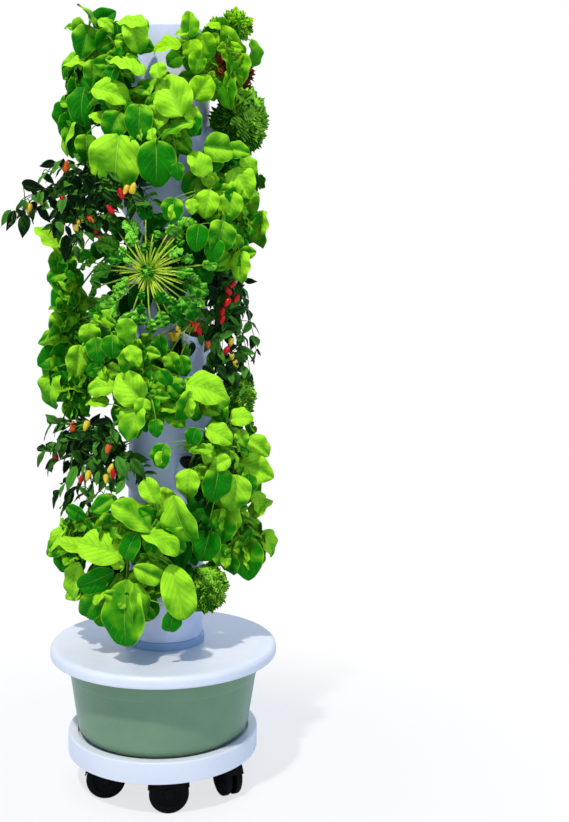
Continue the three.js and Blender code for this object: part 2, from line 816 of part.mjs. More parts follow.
const tower = new THREE.Group();
tower.add(named('dolly_tray', dollyTray(), paint.white));
addCasters(tower);
tower.add(named('reservoir_tub', reservoirTub(), paint.green));
tower.add(named('reservoir_lid', reservoirLid(), paint.white));
tower.add(named('access_port_plug', accessPortPlug(), paint.white));
tower.add(named('column_collar', columnCollar(), paint.white));
addColumn(tower);
tower.add(named('top_cap', topCap(), paint.white));
tower.add(named('pump_housing', pumpHousing(), paint.pump));
tower.add(named('pump_impeller', pumpImpeller(), paint.pump));
tower.add(named('riser_pipe', riserPipe(), paint.pipe));
tower.add(named('distributor_disc', distributorDisc(), paint.pipe));
addPlants(tower);

export default tower;
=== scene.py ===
"""The looks of a vertical planter tower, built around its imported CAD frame.

Metres, +Z up, the origin on the floor under the column. The stage and the camera come first,
then the moulded pieces, and last the plants, each in the space that its CAD solid holds.
"""

import json
import math
import random

import bmesh
import bpy
import numpy as np
from mathutils import Matrix, Vector


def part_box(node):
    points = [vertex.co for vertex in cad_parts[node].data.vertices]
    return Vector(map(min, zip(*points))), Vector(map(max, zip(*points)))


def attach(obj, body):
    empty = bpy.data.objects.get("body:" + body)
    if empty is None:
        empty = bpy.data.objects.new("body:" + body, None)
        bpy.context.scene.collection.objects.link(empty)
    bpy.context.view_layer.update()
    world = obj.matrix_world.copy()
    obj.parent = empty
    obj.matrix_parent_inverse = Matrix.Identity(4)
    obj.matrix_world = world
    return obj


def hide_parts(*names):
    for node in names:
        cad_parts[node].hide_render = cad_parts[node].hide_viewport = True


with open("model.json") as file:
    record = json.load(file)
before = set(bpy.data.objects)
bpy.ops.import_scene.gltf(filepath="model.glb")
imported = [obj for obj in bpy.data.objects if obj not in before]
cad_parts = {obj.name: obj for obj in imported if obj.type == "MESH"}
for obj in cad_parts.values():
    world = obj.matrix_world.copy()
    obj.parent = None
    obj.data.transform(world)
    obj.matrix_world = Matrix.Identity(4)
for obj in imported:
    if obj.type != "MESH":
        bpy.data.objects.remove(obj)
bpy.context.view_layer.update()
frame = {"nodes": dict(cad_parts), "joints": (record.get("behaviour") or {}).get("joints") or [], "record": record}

bl_info = {
    "name": "Planter Tower Looks",
    "version": (1, 0, 0),
    "blender": (4, 5, 0),
    "location": "View3D > Sidebar > Planter",
    "description": "Builds the moulded shells and the plants of a vertical planter tower",
    "category": "Object",
}

ROOT = "tower"
UP = Vector((0, 0, 1))
GOLDEN_ANGLE = 2.399963
# How far a leaf's side veins sweep towards its tip
VEIN_SWEEP = 0.42

# Colours


def linear(red, green, blue):
    """A colour given as it shows on a screen, as the shader wants it."""
    def one(value):
        share = value / 255
        return share / 12.92 if share <= 0.04045 else ((share + 0.055) / 1.055) ** 2.4
    return (one(red), one(green), one(blue), 1.0)


def length_property(name, description, default):
    return bpy.props.FloatProperty(name=name, description=description, default=default, min=0.0,
                                   unit="LENGTH", subtype="DISTANCE")


def colour_property(name, description, default):
    return bpy.props.FloatVectorProperty(name=name, description=description, default=default, size=4,
                                         min=0.0, max=1.0, subtype="COLOR")


class TowerSizes(bpy.types.PropertyGroup):
    tray_radius: length_property("Tray radius", "Outer radius of the dolly tray", 0.2565)
    tray_wall: length_property("Tray wall", "Thickness of the tray's skirt", 0.005)
    tub_wall: length_property("Tub wall", "Thickness of the reservoir tub", 0.004)
    lid_radius: length_property("Lid radius", "Outer radius of the reservoir's lid", 0.305)
    lid_roll: length_property("Lid roll", "Radius of the lid's rolled rim", 0.015)
    column_radius: length_property("Column radius", "Outer radius of a growing section", 0.102)
    section_pitch: length_property("Section pitch", "Height that each growing section adds", 0.172)
    pod_radius: length_property("Pod radius", "Outer radius of a planting pod", 0.031)
    pod_bore: length_property("Pod bore", "Inner radius of a planting pod", 0.028)
    wheel_radius: length_property("Wheel radius", "Radius of the caster wheels", 0.051)


class TowerColours(bpy.types.PropertyGroup):
    white: colour_property("White plastic", "Lid, tray and column", linear(228, 229, 236))
    # The collar's colour is the white plastic darkened to blue-grey with painted shade
    collar: colour_property("Collar plastic", "The ring under the column", linear(150, 178, 214))
    green: colour_property("Green plastic", "Reservoir tub", linear(116, 146, 114))
    black: colour_property("Black plastic", "Casters", linear(5, 5, 6))
    # Leaf colours: the sunlit and shaded basil colours paint light and shade, and the kale and pepper colours are
    # the shaded colours of their leaves
    basil: colour_property("Basil", "Sunlit basil leaf", linear(170, 236, 40))
    basil_deep: colour_property("Deep basil", "Shaded basil leaf", linear(16, 124, 3))
    kale: colour_property("Kale", "Curled kale leaf", linear(8, 84, 2))
    pepper: colour_property("Pepper leaf", "Dark pepper leaf", linear(6, 30, 8))


# Meshes

def new_object(name, data):
    piece = bpy.data.objects.new(name, data)
    bpy.context.scene.collection.objects.link(piece)
    return piece


def smooth(mesh, angle=32):
    mesh.shade_smooth()
    mesh.set_sharp_from_angle(angle=math.radians(angle))
    return mesh


def rounded(corners, steps=4):
    """A profile's corners, each (radius, height, rounding), with the rounding put in."""
    points = []
    count = len(corners)
    for index, (x, z, rounding) in enumerate(corners):
        here = Vector((x, z))
        if not rounding or index in (0, count - 1):
            points.append((x, z))
            continue
        before = Vector(corners[index - 1][:2]) - here
        after = Vector(corners[index + 1][:2]) - here
        reach = min(rounding, before.length * 0.49, after.length * 0.49)
        start, end = here + before.normalized() * reach, here + after.normalized() * reach
        for step in range(steps + 1):
            share = step / steps
            point = start * (1 - share) ** 2 + here * 2 * share * (1 - share) + end * share ** 2
            points.append((point.x, point.y))
    return points


def revolve(profile, sides, closed=False):
    """Vertices and faces of a profile of (radius, height) points, turned about the Z axis."""
    points, rings = [], []
    for radius, height in profile:
        if radius < 1e-7:
            rings.append([len(points)])
            points.append((0.0, 0.0, height))
            continue
        rings.append(list(range(len(points), len(points) + sides)))
        for side in range(sides):
            angle = side * math.tau / sides
            points.append((radius * math.cos(angle), radius * math.sin(angle), height))
    faces = []
    pairs = list(zip(rings, rings[1:])) + ([(rings[-1], rings[0])] if closed else [])
    for lower, upper in pairs:
        for side in range(sides):
            after = (side + 1) % sides
            if len(lower) == 1 and len(upper) == 1:
                break
            if len(lower) == 1:
                faces.append((lower[0], upper[after], upper[side]))
            elif len(upper) == 1:
                faces.append((lower[side], lower[after], upper[0]))
            else:
                faces.append((lower[side], lower[after], upper[after], upper[side]))
    return points, faces


def mesh_of(name, points, faces):
    mesh = bpy.data.meshes.new(name)
    mesh.from_pydata([tuple(p) for p in points], [], faces)
    mesh.validate()
    return mesh


def lathe(name, profile, sides, closed=False):
    return mesh_of(name, *revolve(profile, sides, closed))


def outward(mesh):
    """Turns a closed mesh's faces outwards."""
    work = bmesh.new()
    work.from_mesh(mesh)
    bmesh.ops.recalc_face_normals(work, faces=work.faces)
    work.to_mesh(mesh)
    work.free()
    return mesh


def applied(base):
    """An object's mesh with its modifiers applied. The object goes."""
    bpy.context.view_layer.update()
    result = bpy.data.meshes.new_from_object(base.evaluated_get(bpy.context.evaluated_depsgraph_get()))
    result.name = base.data.name
    bpy.data.objects.remove(base)
    return result


def combined(mesh, others, operation):
    """The mesh joined with, or cut by, each of the others."""
    base = new_object("work", outward(mesh))
    helpers = [new_object("helper", outward(other)) for other in others]
    for helper in helpers:
        step = base.modifiers.new("step", "BOOLEAN")
        step.operation, step.solver, step.object = operation, "EXACT", helper
    result = applied(base)
    for helper in helpers:
        bpy.data.objects.remove(helper)
    return result


def bevelled(mesh, width, angle):
    """The mesh with its edges that are sharper than this angle rounded off."""
    base = new_object("work", mesh)
    step = base.modifiers.new("edge", "BEVEL")
    step.width, step.segments, step.limit_method = width, 2, "ANGLE"
    step.angle_limit = math.radians(angle)
    step.use_clamp_overlap = True
    return applied(base)


def placed(mesh, matrix):
    mesh.transform(matrix)
    return mesh


def dress(piece, body, slot, *nodes, material=None):
    """Puts a piece on its body, in place of its CAD nodes."""
    if material:
        piece.data.materials.clear()
        piece.data.materials.append(material)
    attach(piece, body)
    if nodes:
        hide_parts(*nodes)
    return piece


# Shader groups and materials

def new_group(name, inputs):
    """A shader group with these inputs, which gives a colour, a roughness and a height."""
    group = bpy.data.node_groups.new(name, "ShaderNodeTree")
    for label, default in inputs.items():
        kind = "NodeSocketColor" if isinstance(default, tuple) else "NodeSocketFloat"
        group.interface.new_socket(name=label, in_out="INPUT", socket_type=kind).default_value = default
    for label in ("Colour", "Roughness", "Height"):
        kind = "NodeSocketColor" if label == "Colour" else "NodeSocketFloat"
        group.interface.new_socket(name=label, in_out="OUTPUT", socket_type=kind)
    return group, group.nodes.new("NodeGroupInput").outputs, group.nodes.new("NodeGroupOutput").inputs


def feed(tree, socket, source):
    """Links a socket to another node's output, or sets its value."""
    if hasattr(source, "is_linked"):
        tree.links.new(source, socket)
    else:
        socket.default_value = source


def node(tree, kind, links=None, **settings):
    made = tree.nodes.new(kind)
    for key, value in settings.items():
        setattr(made, key, value)
    for socket, source in (links or {}).items():
        feed(tree, made.inputs[socket], source)
    return made


def math_node(tree, operation, first, second=0.0):
    return node(tree, "ShaderNodeMath", {0: first, 1: second}, operation=operation).outputs[0]


def plus(tree, first, second):
    return math_node(tree, "ADD", first, second)


def minus(tree, first, second):
    return math_node(tree, "SUBTRACT", first, second)


def times(tree, first, second):
    return math_node(tree, "MULTIPLY", first, second)


def mixed(tree, factor, first, second):
    """One colour run into another."""
    return node(tree, "ShaderNodeMix", {0: factor, 6: first, 7: second}, data_type="RGBA").outputs[2]


def ramp(tree, factor, low, high):
    """0 below low, 1 above high, smooth between."""
    made = node(tree, "ShaderNodeMapRange", {0: factor, 1: low, 2: high}, interpolation_type="SMOOTHSTEP")
    return made.outputs[0]


def faded(tree, factor, low, high):
    """1 below low, 0 above high, smooth between."""
    return minus(tree, 1.0, ramp(tree, factor, low, high))


def noise(tree, scale, detail, roughness=0.5):
    place = node(tree, "ShaderNodeTexCoord").outputs["Object"]
    return node(tree, "ShaderNodeTexNoise", {"Vector": place, "Scale": scale, "Detail": detail,
                                             "Roughness": roughness}).outputs["Fac"]


def steepness(tree):
    """The upward share of the surface's direction."""
    normal = node(tree, "ShaderNodeNewGeometry").outputs["Normal"]
    return node(tree, "ShaderNodeSeparateXYZ", {0: normal}).outputs["Z"]


def moulded_group():
    """Fine moulding grain, faint mottling and dust that settles on upward faces."""
    name = "Moulded Surface"
    if name in bpy.data.node_groups:
        return bpy.data.node_groups[name]
    group, given, result = new_group(name, {
        "Colour": (0.8, 0.8, 0.8, 1), "Shade Colour": (0.6, 0.6, 0.7, 1), "Grain Scale": 700.0,
        "Mottle": 0.15, "Dust": 0.15, "Roughness": 0.35})
    cloud = noise(group, 9.0, 4.0, 0.6)
    speck = noise(group, 120.0, 3.0)
    colour = mixed(group, times(group, ramp(group, cloud, 0.35, 0.7), given["Mottle"]), given["Colour"],
                   given["Shade Colour"])
    level = ramp(group, steepness(group), 0.6, 1.0)
    dust = times(group, times(group, level, ramp(group, speck, 0.45, 0.75)), given["Dust"])
    rough = plus(group, given["Roughness"], times(group, minus(group, cloud, 0.5), 0.18))
    feed(group, result["Colour"], mixed(group, dust, colour, linear(150, 140, 118)))
    feed(group, result["Roughness"], plus(group, rough, times(group, dust, 0.6)))
    feed(group, result["Height"], noise(group, given["Grain Scale"], 2.0))
    return group


def leaf_group():
    """Veins, edge, underside and leaf-to-leaf colour from the leaf's own coordinates, with painted light and
    painted shade.
    The attribute holds the share along the leaf, the share across it, and a number for each leaf,
    with 1 added on the underside."""
    name = "Leaf Blade"
    if name in bpy.data.node_groups:
        return bpy.data.node_groups[name]
    group, given, result = new_group(name, {
        "Sunlit": (0.2, 0.5, 0.05, 1), "Deep": (0.05, 0.2, 0.02, 1), "Vein": (0.5, 0.7, 0.2, 1),
        "Edge": (0.5, 0.7, 0.1, 1), "Underside": (0.3, 0.5, 0.2, 1), "Vein Count": 5.0, "Vein Width": 0.08,
        "Edge Width": 0.1, "Blister": 0.2, "Crease": 0.3})
    own = node(group, "ShaderNodeAttribute", attribute_name="leaf", attribute_type="GEOMETRY")
    along, across, number = node(group, "ShaderNodeSeparateXYZ", {0: own.outputs["Vector"]}).outputs
    away = math_node(group, "ABSOLUTE", across)
    under = math_node(group, "GREATER_THAN", number, 0.9995)
    draw = math_node(group, "FRACT", number)
    # Side veins leave the midrib and sweep towards the tip
    phase = times(group, minus(group, along, times(group, away, VEIN_SWEEP)), given["Vein Count"])
    wave = math_node(group, "ABSOLUTE", math_node(group, "SINE", times(group, phase, math.pi)))
    side_vein = times(group, faded(group, wave, 0.0, times(group, given["Vein Width"], 3.0)),
                      faded(group, away, 0.55, 0.95))
    midrib = faded(group, away, 0.0, times(group, given["Vein Width"], minus(group, 1.3, along)))
    vein = math_node(group, "MAXIMUM", midrib, times(group, side_vein, 0.5))
    # Each leaf has a tone of its own, with patches, that runs from the sunlit colour to the shaded one; painted
    # light makes it paler where it faces up, and painted shade darker where it faces down
    patch = noise(group, 22.0, 2.0)
    tone = plus(group, times(group, draw, 0.75), times(group, minus(group, patch, 0.4), 0.7))
    tone = plus(group, tone, times(group, minus(group, 0.4, steepness(group)), 0.46))
    colour = mixed(group, ramp(group, tone, 0.1, 0.85), given["Sunlit"], given["Deep"])
    # Painted shade darkens the blade in the creases beside its veins
    crease_shade = faded(group, times(group, wave, ramp(group, away, 0.0, 0.2)), 0.0, 0.55)
    colour = mixed(group, times(group, crease_shade, given["Crease"]), colour, given["Deep"])
    edge = ramp(group, away, minus(group, 1.0, given["Edge Width"]), 1.0)
    for mask, share, label in ((edge, 0.4, "Edge"), (vein, 0.45, "Vein"), (under, 0.65, "Underside")):
        colour = mixed(group, times(group, mask, share), colour, given[label])
    place = node(group, "ShaderNodeTexCoord").outputs["Object"]
    blister = node(group, "ShaderNodeTexVoronoi", {"Vector": place, "Scale": 190.0}, feature="SMOOTH_F1")
    feed(group, result["Colour"], colour)
    feed(group, result["Roughness"], plus(group, 0.42, times(group, patch, 0.22)))
    feed(group, result["Height"], plus(group, times(group, vein, -0.7),
                                       times(group, blister.outputs["Distance"], given["Blister"])))
    return group


def new_material(name, gleam):
    """A material, with its node tree and its shader's inputs."""
    material = bpy.data.materials.new(name)
    material.use_nodes = True
    shader = material.node_tree.nodes["Principled BSDF"]
    shader.inputs["Specular IOR Level"].default_value = gleam
    return material, material.node_tree, shader.inputs


def grouped_material(name, gleam, group, values, bump, distance):
    """A material whose colour, roughness and bump come from a shader group with these values."""
    material, tree, shader = new_material(name, gleam)
    surface = tree.nodes.new("ShaderNodeGroup")
    surface.node_tree = group
    for key, value in values.items():
        surface.inputs[key].default_value = value
    lift = node(tree, "ShaderNodeBump", {"Strength": bump, "Distance": distance,
                                         "Height": surface.outputs["Height"]})
    feed(tree, shader["Base Color"], surface.outputs["Colour"])
    feed(tree, shader["Roughness"], surface.outputs["Roughness"])
    feed(tree, shader["Normal"], lift.outputs[0])
    return material


def plastic(name, colour, shade, roughness, mottle=0.3, dust=0.12, grain=0.03, scale=700.0, coat=0.0,
            gleam=0.5):
    """Moulded plastic with grain, mottling and a little dust."""
    if name in bpy.data.materials:
        return bpy.data.materials[name]
    material = grouped_material(name, gleam, moulded_group(), {
        "Colour": colour, "Shade Colour": shade, "Grain Scale": scale, "Mottle": mottle, "Dust": dust,
        "Roughness": roughness}, grain, 0.0005)
    shader = material.node_tree.nodes["Principled BSDF"]
    shader.inputs["Coat Weight"].default_value = coat
    shader.inputs["Coat Roughness"].default_value = 0.12
    return material


def leaf_material(name, sunlit, deep, vein, edge, underside, veins, edge_width, vein_width=0.06, blister=0.3,
                  crease_shade=0.3):
    """A leaf's blade, by its colours, the number of its side veins, and widths as shares of half a leaf."""
    if name in bpy.data.materials:
        return bpy.data.materials[name]
    return grouped_material(name, 0.05, leaf_group(), {
        "Sunlit": sunlit, "Deep": deep, "Vein": vein, "Edge": edge, "Underside": underside,
        "Vein Count": veins, "Vein Width": vein_width, "Edge Width": edge_width, "Blister": blister,
        "Crease": crease_shade}, 0.8, 0.002)


def mottled_material(name, first, second, scale, roughness, bump=0.3, distance=0.001):
    """A skin or block whose two colours run into each other, such as a stalk, fruit or growing block."""
    if name in bpy.data.materials:
        return bpy.data.materials[name]
    material, tree, shader = new_material(name, 0.25)
    cloud = noise(tree, scale, 3.0)
    lift = node(tree, "ShaderNodeBump", {"Strength": bump, "Distance": distance, "Height": cloud})
    feed(tree, shader["Base Color"], mixed(tree, ramp(tree, cloud, 0.35, 0.65), first, second))
    feed(tree, shader["Normal"], lift.outputs[0])
    shader["Roughness"].default_value = roughness
    return material


# The photograph's view

FRAME_WIDTH, FRAME_HEIGHT = 569, 822
VIEW_TURN = math.radians(16)
VIEW_DISTANCE, VIEW_HEIGHT = 2.5783, 1.2039
VIEW_YAW, VIEW_PITCH, VIEW_ROLL = 0.12253, 0.07177, 0.02028
FOCAL_PIXELS = 953.0
TOWARDS = Vector((math.sin(VIEW_TURN), -math.cos(VIEW_TURN), 0))
RIGHTWARDS = Vector((math.cos(VIEW_TURN), math.sin(VIEW_TURN), 0))


def view_axes():
    """The camera's place and its right, up and forward directions."""
    eye = TOWARDS * VIEW_DISTANCE + UP * VIEW_HEIGHT
    ahead = -TOWARDS * math.cos(VIEW_YAW) + RIGHTWARDS * math.sin(VIEW_YAW)
    forward = ahead * math.cos(VIEW_PITCH) - UP * math.sin(VIEW_PITCH)
    level = RIGHTWARDS * math.cos(VIEW_YAW) + TOWARDS * math.sin(VIEW_YAW)
    upright = level.cross(forward)
    right = level * math.cos(VIEW_ROLL) + upright * math.sin(VIEW_ROLL)
    up = upright * math.cos(VIEW_ROLL) - level * math.sin(VIEW_ROLL)
    return eye, right, up, forward


EYE, EYE_RIGHT, EYE_UP, EYE_FORWARD = view_axes()
# The way from which painted light falls on the curled heads
LIT_WAY = (EYE_RIGHT * 0.8 + UP * 0.6).normalized()


def sighted(u, v, radius, nearness=1.0, least=0.0):
    """The point seen at a pixel, at this distance from the column's axis. Past that distance to the side, it
    is least forward of the axis. Nearness below 1 brings it back towards the axis, and below 0 behind it."""
    ray = EYE_FORWARD * FOCAL_PIXELS + EYE_RIGHT * (u - FRAME_WIDTH / 2) - EYE_UP * (v - FRAME_HEIGHT / 2)
    depth = 0.0
    for _ in range(4):
        point = EYE + ray * ((depth - EYE.dot(TOWARDS)) / ray.dot(TOWARDS))
        aside = point.dot(RIGHTWARDS)
        depth = nearness * math.sqrt(max(radius ** 2 - aside ** 2, least ** 2))
    return point


# Plants

LEAF_FORMS = {
    "basil": dict(width=0.8, base=0.5, tip=0.78, arch=0.05, puff=0.05, bend=0.95, ruffle=0.045, waves=2.5,
                  veins=6.5, fold=0.16, rows=23, columns=13),
    "paddle": dict(width=0.66, base=0.62, tip=0.55, arch=0.05, puff=0.03, bend=0.75, ruffle=0.04, waves=2.0,
                   veins=8.0, fold=0.14, rows=23, columns=13),
    "kale": dict(width=1.15, base=0.5, tip=0.35, arch=0.05, puff=0.04, bend=0.9, ruffle=0.3, waves=4.5,
                 veins=4.0, fold=0.0, rows=17, columns=9),
    "pepper": dict(width=0.46, base=0.7, tip=1.1, arch=0.03, puff=0.02, bend=0.35, ruffle=0.02, waves=2.0,
                   veins=5.0, fold=0.2, rows=9, columns=7),
    "rosette": dict(width=0.8, base=0.55, tip=0.45, arch=0.08, puff=0.12, bend=1.2, ruffle=0.1, waves=3.5,
                    veins=6.0, fold=-0.1, rows=25, columns=11),
}


def leaf_grid(form, size, draw):
    """Points of a leaf, from its base at the origin along +X, its upper side towards +Z."""
    shape = LEAF_FORMS[form]
    s = np.linspace(0, 1, shape["rows"])[:, None]
    t = np.linspace(-1, 1, shape["columns"])[None, :]
    peak = shape["base"] / (shape["base"] + shape["tip"])
    top = peak ** shape["base"] * (1 - peak) ** shape["tip"]
    outline = np.maximum((s ** shape["base"]) * ((1 - s) ** shape["tip"]) / top, 0.03)
    half = size * shape["width"] * draw.uniform(0.86, 1.12) / 2 * outline
    pitch = shape["bend"] * draw.uniform(0.5, 1.35) * s ** 1.4
    step = size / (shape["rows"] - 1)
    spine_x = np.concatenate([[0], np.cumsum(np.cos(pitch[1:, 0]) * step)])[:, None]
    spine_z = np.concatenate([[0], np.cumsum(-np.sin(pitch[1:, 0]) * step)])[:, None]
    # Each half arches between the sunken midrib and the edge, and the blade puffs up between its side veins
    away = np.abs(t)
    cells = np.abs(np.sin(np.pi * shape["veins"] * (s - VEIN_SWEEP * away))) ** 0.6
    lift = shape["puff"] * size * cells * np.minimum(away * 3, 1) * (1 - away ** 4) * outline
    arch = shape["arch"] * size * np.sin(np.pi * np.minimum(away * 0.5 + 0.06, 0.5 + away * 0.35)) * outline
    lift = lift + arch - 0.9 * arch * away ** 3 + shape["fold"] * draw.uniform(0.3, 1.7) * half * away
    turn = draw.uniform(0, math.tau)
    curl = np.sin(shape["waves"] * math.tau * s + turn + (t > 0) * 2.1)
    lift = lift + shape["ruffle"] * size * away ** 1.6 * curl * np.sqrt(outline)
    if shape["ruffle"] > 0.1:
        lift = lift + 0.06 * size * away * np.sin(3.1 * shape["waves"] * math.tau * s + 2 * turn)
    twist = draw.uniform(-0.4, 0.4) * s
    side = half * t * np.cos(twist) - lift * np.sin(twist)
    rise = half * t * np.sin(twist) + lift * np.cos(twist)
    x = spine_x + rise * np.sin(pitch)
    z = spine_z + rise * np.cos(pitch)
    y = side + 0 * s
    return np.stack([x + 0 * t, y, z + 0 * t], axis=2), np.stack([s + 0 * t, t + 0 * s], axis=2)


BLADE_THICKNESS = 0.0006
# How far a stalk runs into its leaf, as a share of the leaf's length
JOINT_SHARE = 0.04
# The tone of the darkest leaf, and of what isn't a leaf
DARKEST, PLAIN = 0.98, 0.5


def bowed(start, end, rise, steps=5):
    """A curved path between two points, bowed by rise."""
    middle = (start + end) / 2 + rise
    path = []
    for k in range(steps + 1):
        share = k / steps
        path.append(start * (1 - share) ** 2 + middle * 2 * share * (1 - share) + end * share ** 2)
    return path


class Growth:
    """Gathers the leaves, stalks, fruit and pot of one plant into one mesh."""

    def __init__(self, seed):
        self.draw = random.Random(seed)
        self.points, self.faces, self.looks, self.shares, self.rims = [], [], [], [], []
        self.count = 0
        self.twigs = []

    def add(self, points, faces, look, shares, rim=()):
        points = np.asarray(points, dtype=np.float64).reshape(-1, 3)
        for block in faces:
            block = np.asarray(block, dtype=np.int64)
            self.faces.append(block + self.count)
            self.looks.append(np.full(len(block), look))
        self.points.append(points)
        self.shares.append(np.asarray(shares, dtype=np.float64).reshape(-1, 3))
        if len(rim):
            self.rims.append(np.asarray(rim, dtype=np.int64) + self.count)
        self.count += len(points)

    def leaf(self, form, base, ahead, normal, size, look, tone=None):
        """A leaf from its base, with a thin closed blade, along a direction and facing a normal."""
        grid, shares = leaf_grid(form, size, self.draw)
        rows, columns = grid.shape[:2]
        ahead = ahead.normalized()
        normal = normal - ahead * normal.dot(ahead)
        if normal.length < 1e-3:
            normal = ahead.orthogonal()
        normal.normalize()
        side = normal.cross(ahead)
        axes = np.array([ahead, side, normal])
        flat = grid.reshape(-1, 3) @ axes + np.array(base)
        facing = np.cross(np.gradient(grid, axis=0), np.gradient(grid, axis=1)).reshape(-1, 3) @ axes
        facing /= np.maximum(np.linalg.norm(facing, axis=1, keepdims=True), 1e-9)
        index = np.arange(rows * columns).reshape(rows, columns)
        inner = np.zeros((rows, columns), bool)
        inner[1:-1, 1:-1] = True
        inner = inner.reshape(-1)
        below = index.reshape(-1).copy()
        below[inner] = rows * columns + np.arange(inner.sum())
        below = below.reshape(rows, columns)
        points = np.concatenate([flat, flat[inner] - facing[inner] * BLADE_THICKNESS])
        upper = np.stack([index[:-1, :-1], index[1:, :-1], index[1:, 1:], index[:-1, 1:]], axis=2)
        lower = np.stack([below[:-1, :-1], below[:-1, 1:], below[1:, 1:], below[1:, :-1]], axis=2)
        tone = self.draw.uniform(1 - DARKEST, DARKEST) if tone is None else tone
        own = shares.reshape(-1, 2)
        own = np.concatenate([np.concatenate([own, np.full((len(own), 1), tone)], axis=1),
                              np.concatenate([own[inner], np.full((inner.sum(), 1), tone + 1)], axis=1)])
        loop = np.concatenate([index[0], index[1:, -1], index[-1, -2::-1], index[-2::-1, 0]])
        faces = [upper.reshape(-1, 4), lower.reshape(-1, 4)]
        self.add(points, faces, look, own, np.stack([loop[:-1], loop[1:]], axis=1))

    def tube(self, path, thickness, look, sides=6):
        """A stalk along a path, with its thickness at the start and at the end."""
        count = len(path)
        points, shares = [], []
        side = None
        for index, here in enumerate(path):
            ahead = path[min(index + 1, count - 1)] - path[max(index - 1, 0)]
            ahead = ahead.normalized() if ahead.length > 1e-9 else UP
            side = ahead.orthogonal() if side is None else side - ahead * side.dot(ahead)
            side.normalize()
            other = ahead.cross(side)
            share = index / (count - 1)
            radius = thickness[0] * (1 - share) + thickness[1] * share
            for k in range(sides):
                angle = k * math.tau / sides
                points.append(here + (side * math.cos(angle) + other * math.sin(angle)) * radius)
                shares.append((share, 0.0, PLAIN))
        around = [(k, (k + 1) % sides) for k in range(sides)]
        faces = [[ring + k, ring + after, ring + sides + after, ring + sides + k]
                 for ring in range(0, (count - 1) * sides, sides) for k, after in around]
        points += [path[0], path[-1]]
        shares += [(0, 0, PLAIN), (1, 0, PLAIN)]
        first, final = count * sides, (count - 1) * sides
        ends = [[first, after, k] for k, after in around]
        ends += [[first + 1, final + k, final + after] for k, after in around]
        self.add(points, [faces, ends], look, shares)

    def turned(self, profile, matrix, look, sides, closed=False):
        """A turned form, such as a fruit or a pot's ring."""
        points, faces = revolve(profile, sides, closed)
        points = [matrix @ Vector(p) for p in points]
        quads = [f for f in faces if len(f) == 4]
        tris = [f for f in faces if len(f) == 3]
        self.add(points, [f for f in (quads, tris) if f], look, [(0.5, 0.0, PLAIN)] * len(points))

    def mesh(self, name, materials):
        mesh = bpy.data.meshes.new(name)
        points = np.concatenate(self.points)
        mesh.vertices.add(len(points))
        mesh.vertices.foreach_set("co", points.astype(np.float32).ravel())
        corners = np.concatenate([block.ravel() for block in self.faces])
        totals = np.concatenate([np.full(len(block), block.shape[1]) for block in self.faces])
        mesh.loops.add(len(corners))
        mesh.loops.foreach_set("vertex_index", corners.astype(np.int32))
        mesh.polygons.add(len(totals))
        starts = np.concatenate([[0], np.cumsum(totals)[:-1]])
        mesh.polygons.foreach_set("loop_start", starts.astype(np.int32))
        mesh.polygons.foreach_set("material_index", np.concatenate(self.looks).astype(np.int32))
        mesh.update(calc_edges=True)
        mesh.shade_smooth()
        own = mesh.attributes.new("leaf", "FLOAT_VECTOR", "POINT")
        own.data.foreach_set("vector", np.concatenate(self.shares).astype(np.float32).ravel())
        if self.rims:
            rims = np.sort(np.concatenate(self.rims), axis=1)
            keys = rims[:, 0] * len(points) + rims[:, 1]
            ends = np.zeros(len(mesh.edges) * 2, np.int64)
            mesh.edges.foreach_get("vertices", ends)
            ends = np.sort(ends.reshape(-1, 2), axis=1)
            sharp = mesh.attributes.new("sharp_edge", "BOOLEAN", "EDGE")
            sharp.data.foreach_set("value", np.isin(ends[:, 0] * len(points) + ends[:, 1], keys))
        for material in materials:
            mesh.materials.append(material)
        return mesh


# The looks that a plant's parts take: places in its list of materials
BLADE, STALK, POT, BLOCK, FRUIT = 0, 1, 2, 3, 4
CURL_LOOKS = {"kale": 0, "lettuce": 7, "red": 8}
# The look of the leaves at the back, a darker copy of the blade that paints their shade
BACK_SHADE = 9

# The column's levels and the pods of each, and where they are
LEVELS, PORTS = 9, 4
POD_TILT = math.radians(54)
COLUMN_BASE = 0.39196
SECTION_HEIGHT = 0.1717
POD_TOP_MARGIN = 0.004
CROWN_LIFT = 0.045
# The net pot: its depth and foot, its gap to the pod, its collar, its hoops and bars, and the block in it
NET_POT_DEPTH, NET_POT_FOOT, NET_POT_GAP, NET_POT_WALL = 0.05, 0.018, 0.0012, 0.0016
COLLAR_RISE, COLLAR_SINK, COLLAR_INSET = 0.0012, 0.004, 0.001
HOOP_WALL, HOOP_HEIGHT, HOOP_SHARES = 0.0015, 0.003, (0.35, 0.68, 1.0)
BAR_COUNT, BAR_RADIUS, BAR_INSET, BAR_TOP = 10, 0.0009, 0.001, 0.003
BLOCK_GAP, BLOCK_FOOT_GAP, BLOCK_LIFT, BLOCK_LUMPS = 0.0035, 0.003, 0.002, 7


def pod_axis(level, port):
    """The middle of a pod's mouth, the direction out of it, and the way that it faces."""
    sizes = bpy.context.scene.planter_sizes
    angle = (math.pi / 4 if level % 2 else 0.0) + port * math.tau / PORTS
    facing = Vector((math.cos(angle), math.sin(angle), 0))
    radius = sizes.column_radius + sizes.pod_radius * math.sin(POD_TILT)
    height = (COLUMN_BASE + (level - 1) * sizes.section_pitch + SECTION_HEIGHT - POD_TOP_MARGIN
              - sizes.pod_radius * math.cos(POD_TILT))
    return facing * radius + UP * height, facing * math.cos(POD_TILT) + UP * math.sin(POD_TILT), facing


def pod_matrix(level, port):
    mouth, axis, facing = pod_axis(level, port)
    side = UP.cross(facing)
    matrix = Matrix((axis.cross(side) * -1, side, axis)).transposed().to_4x4()
    matrix.translation = mouth
    return matrix


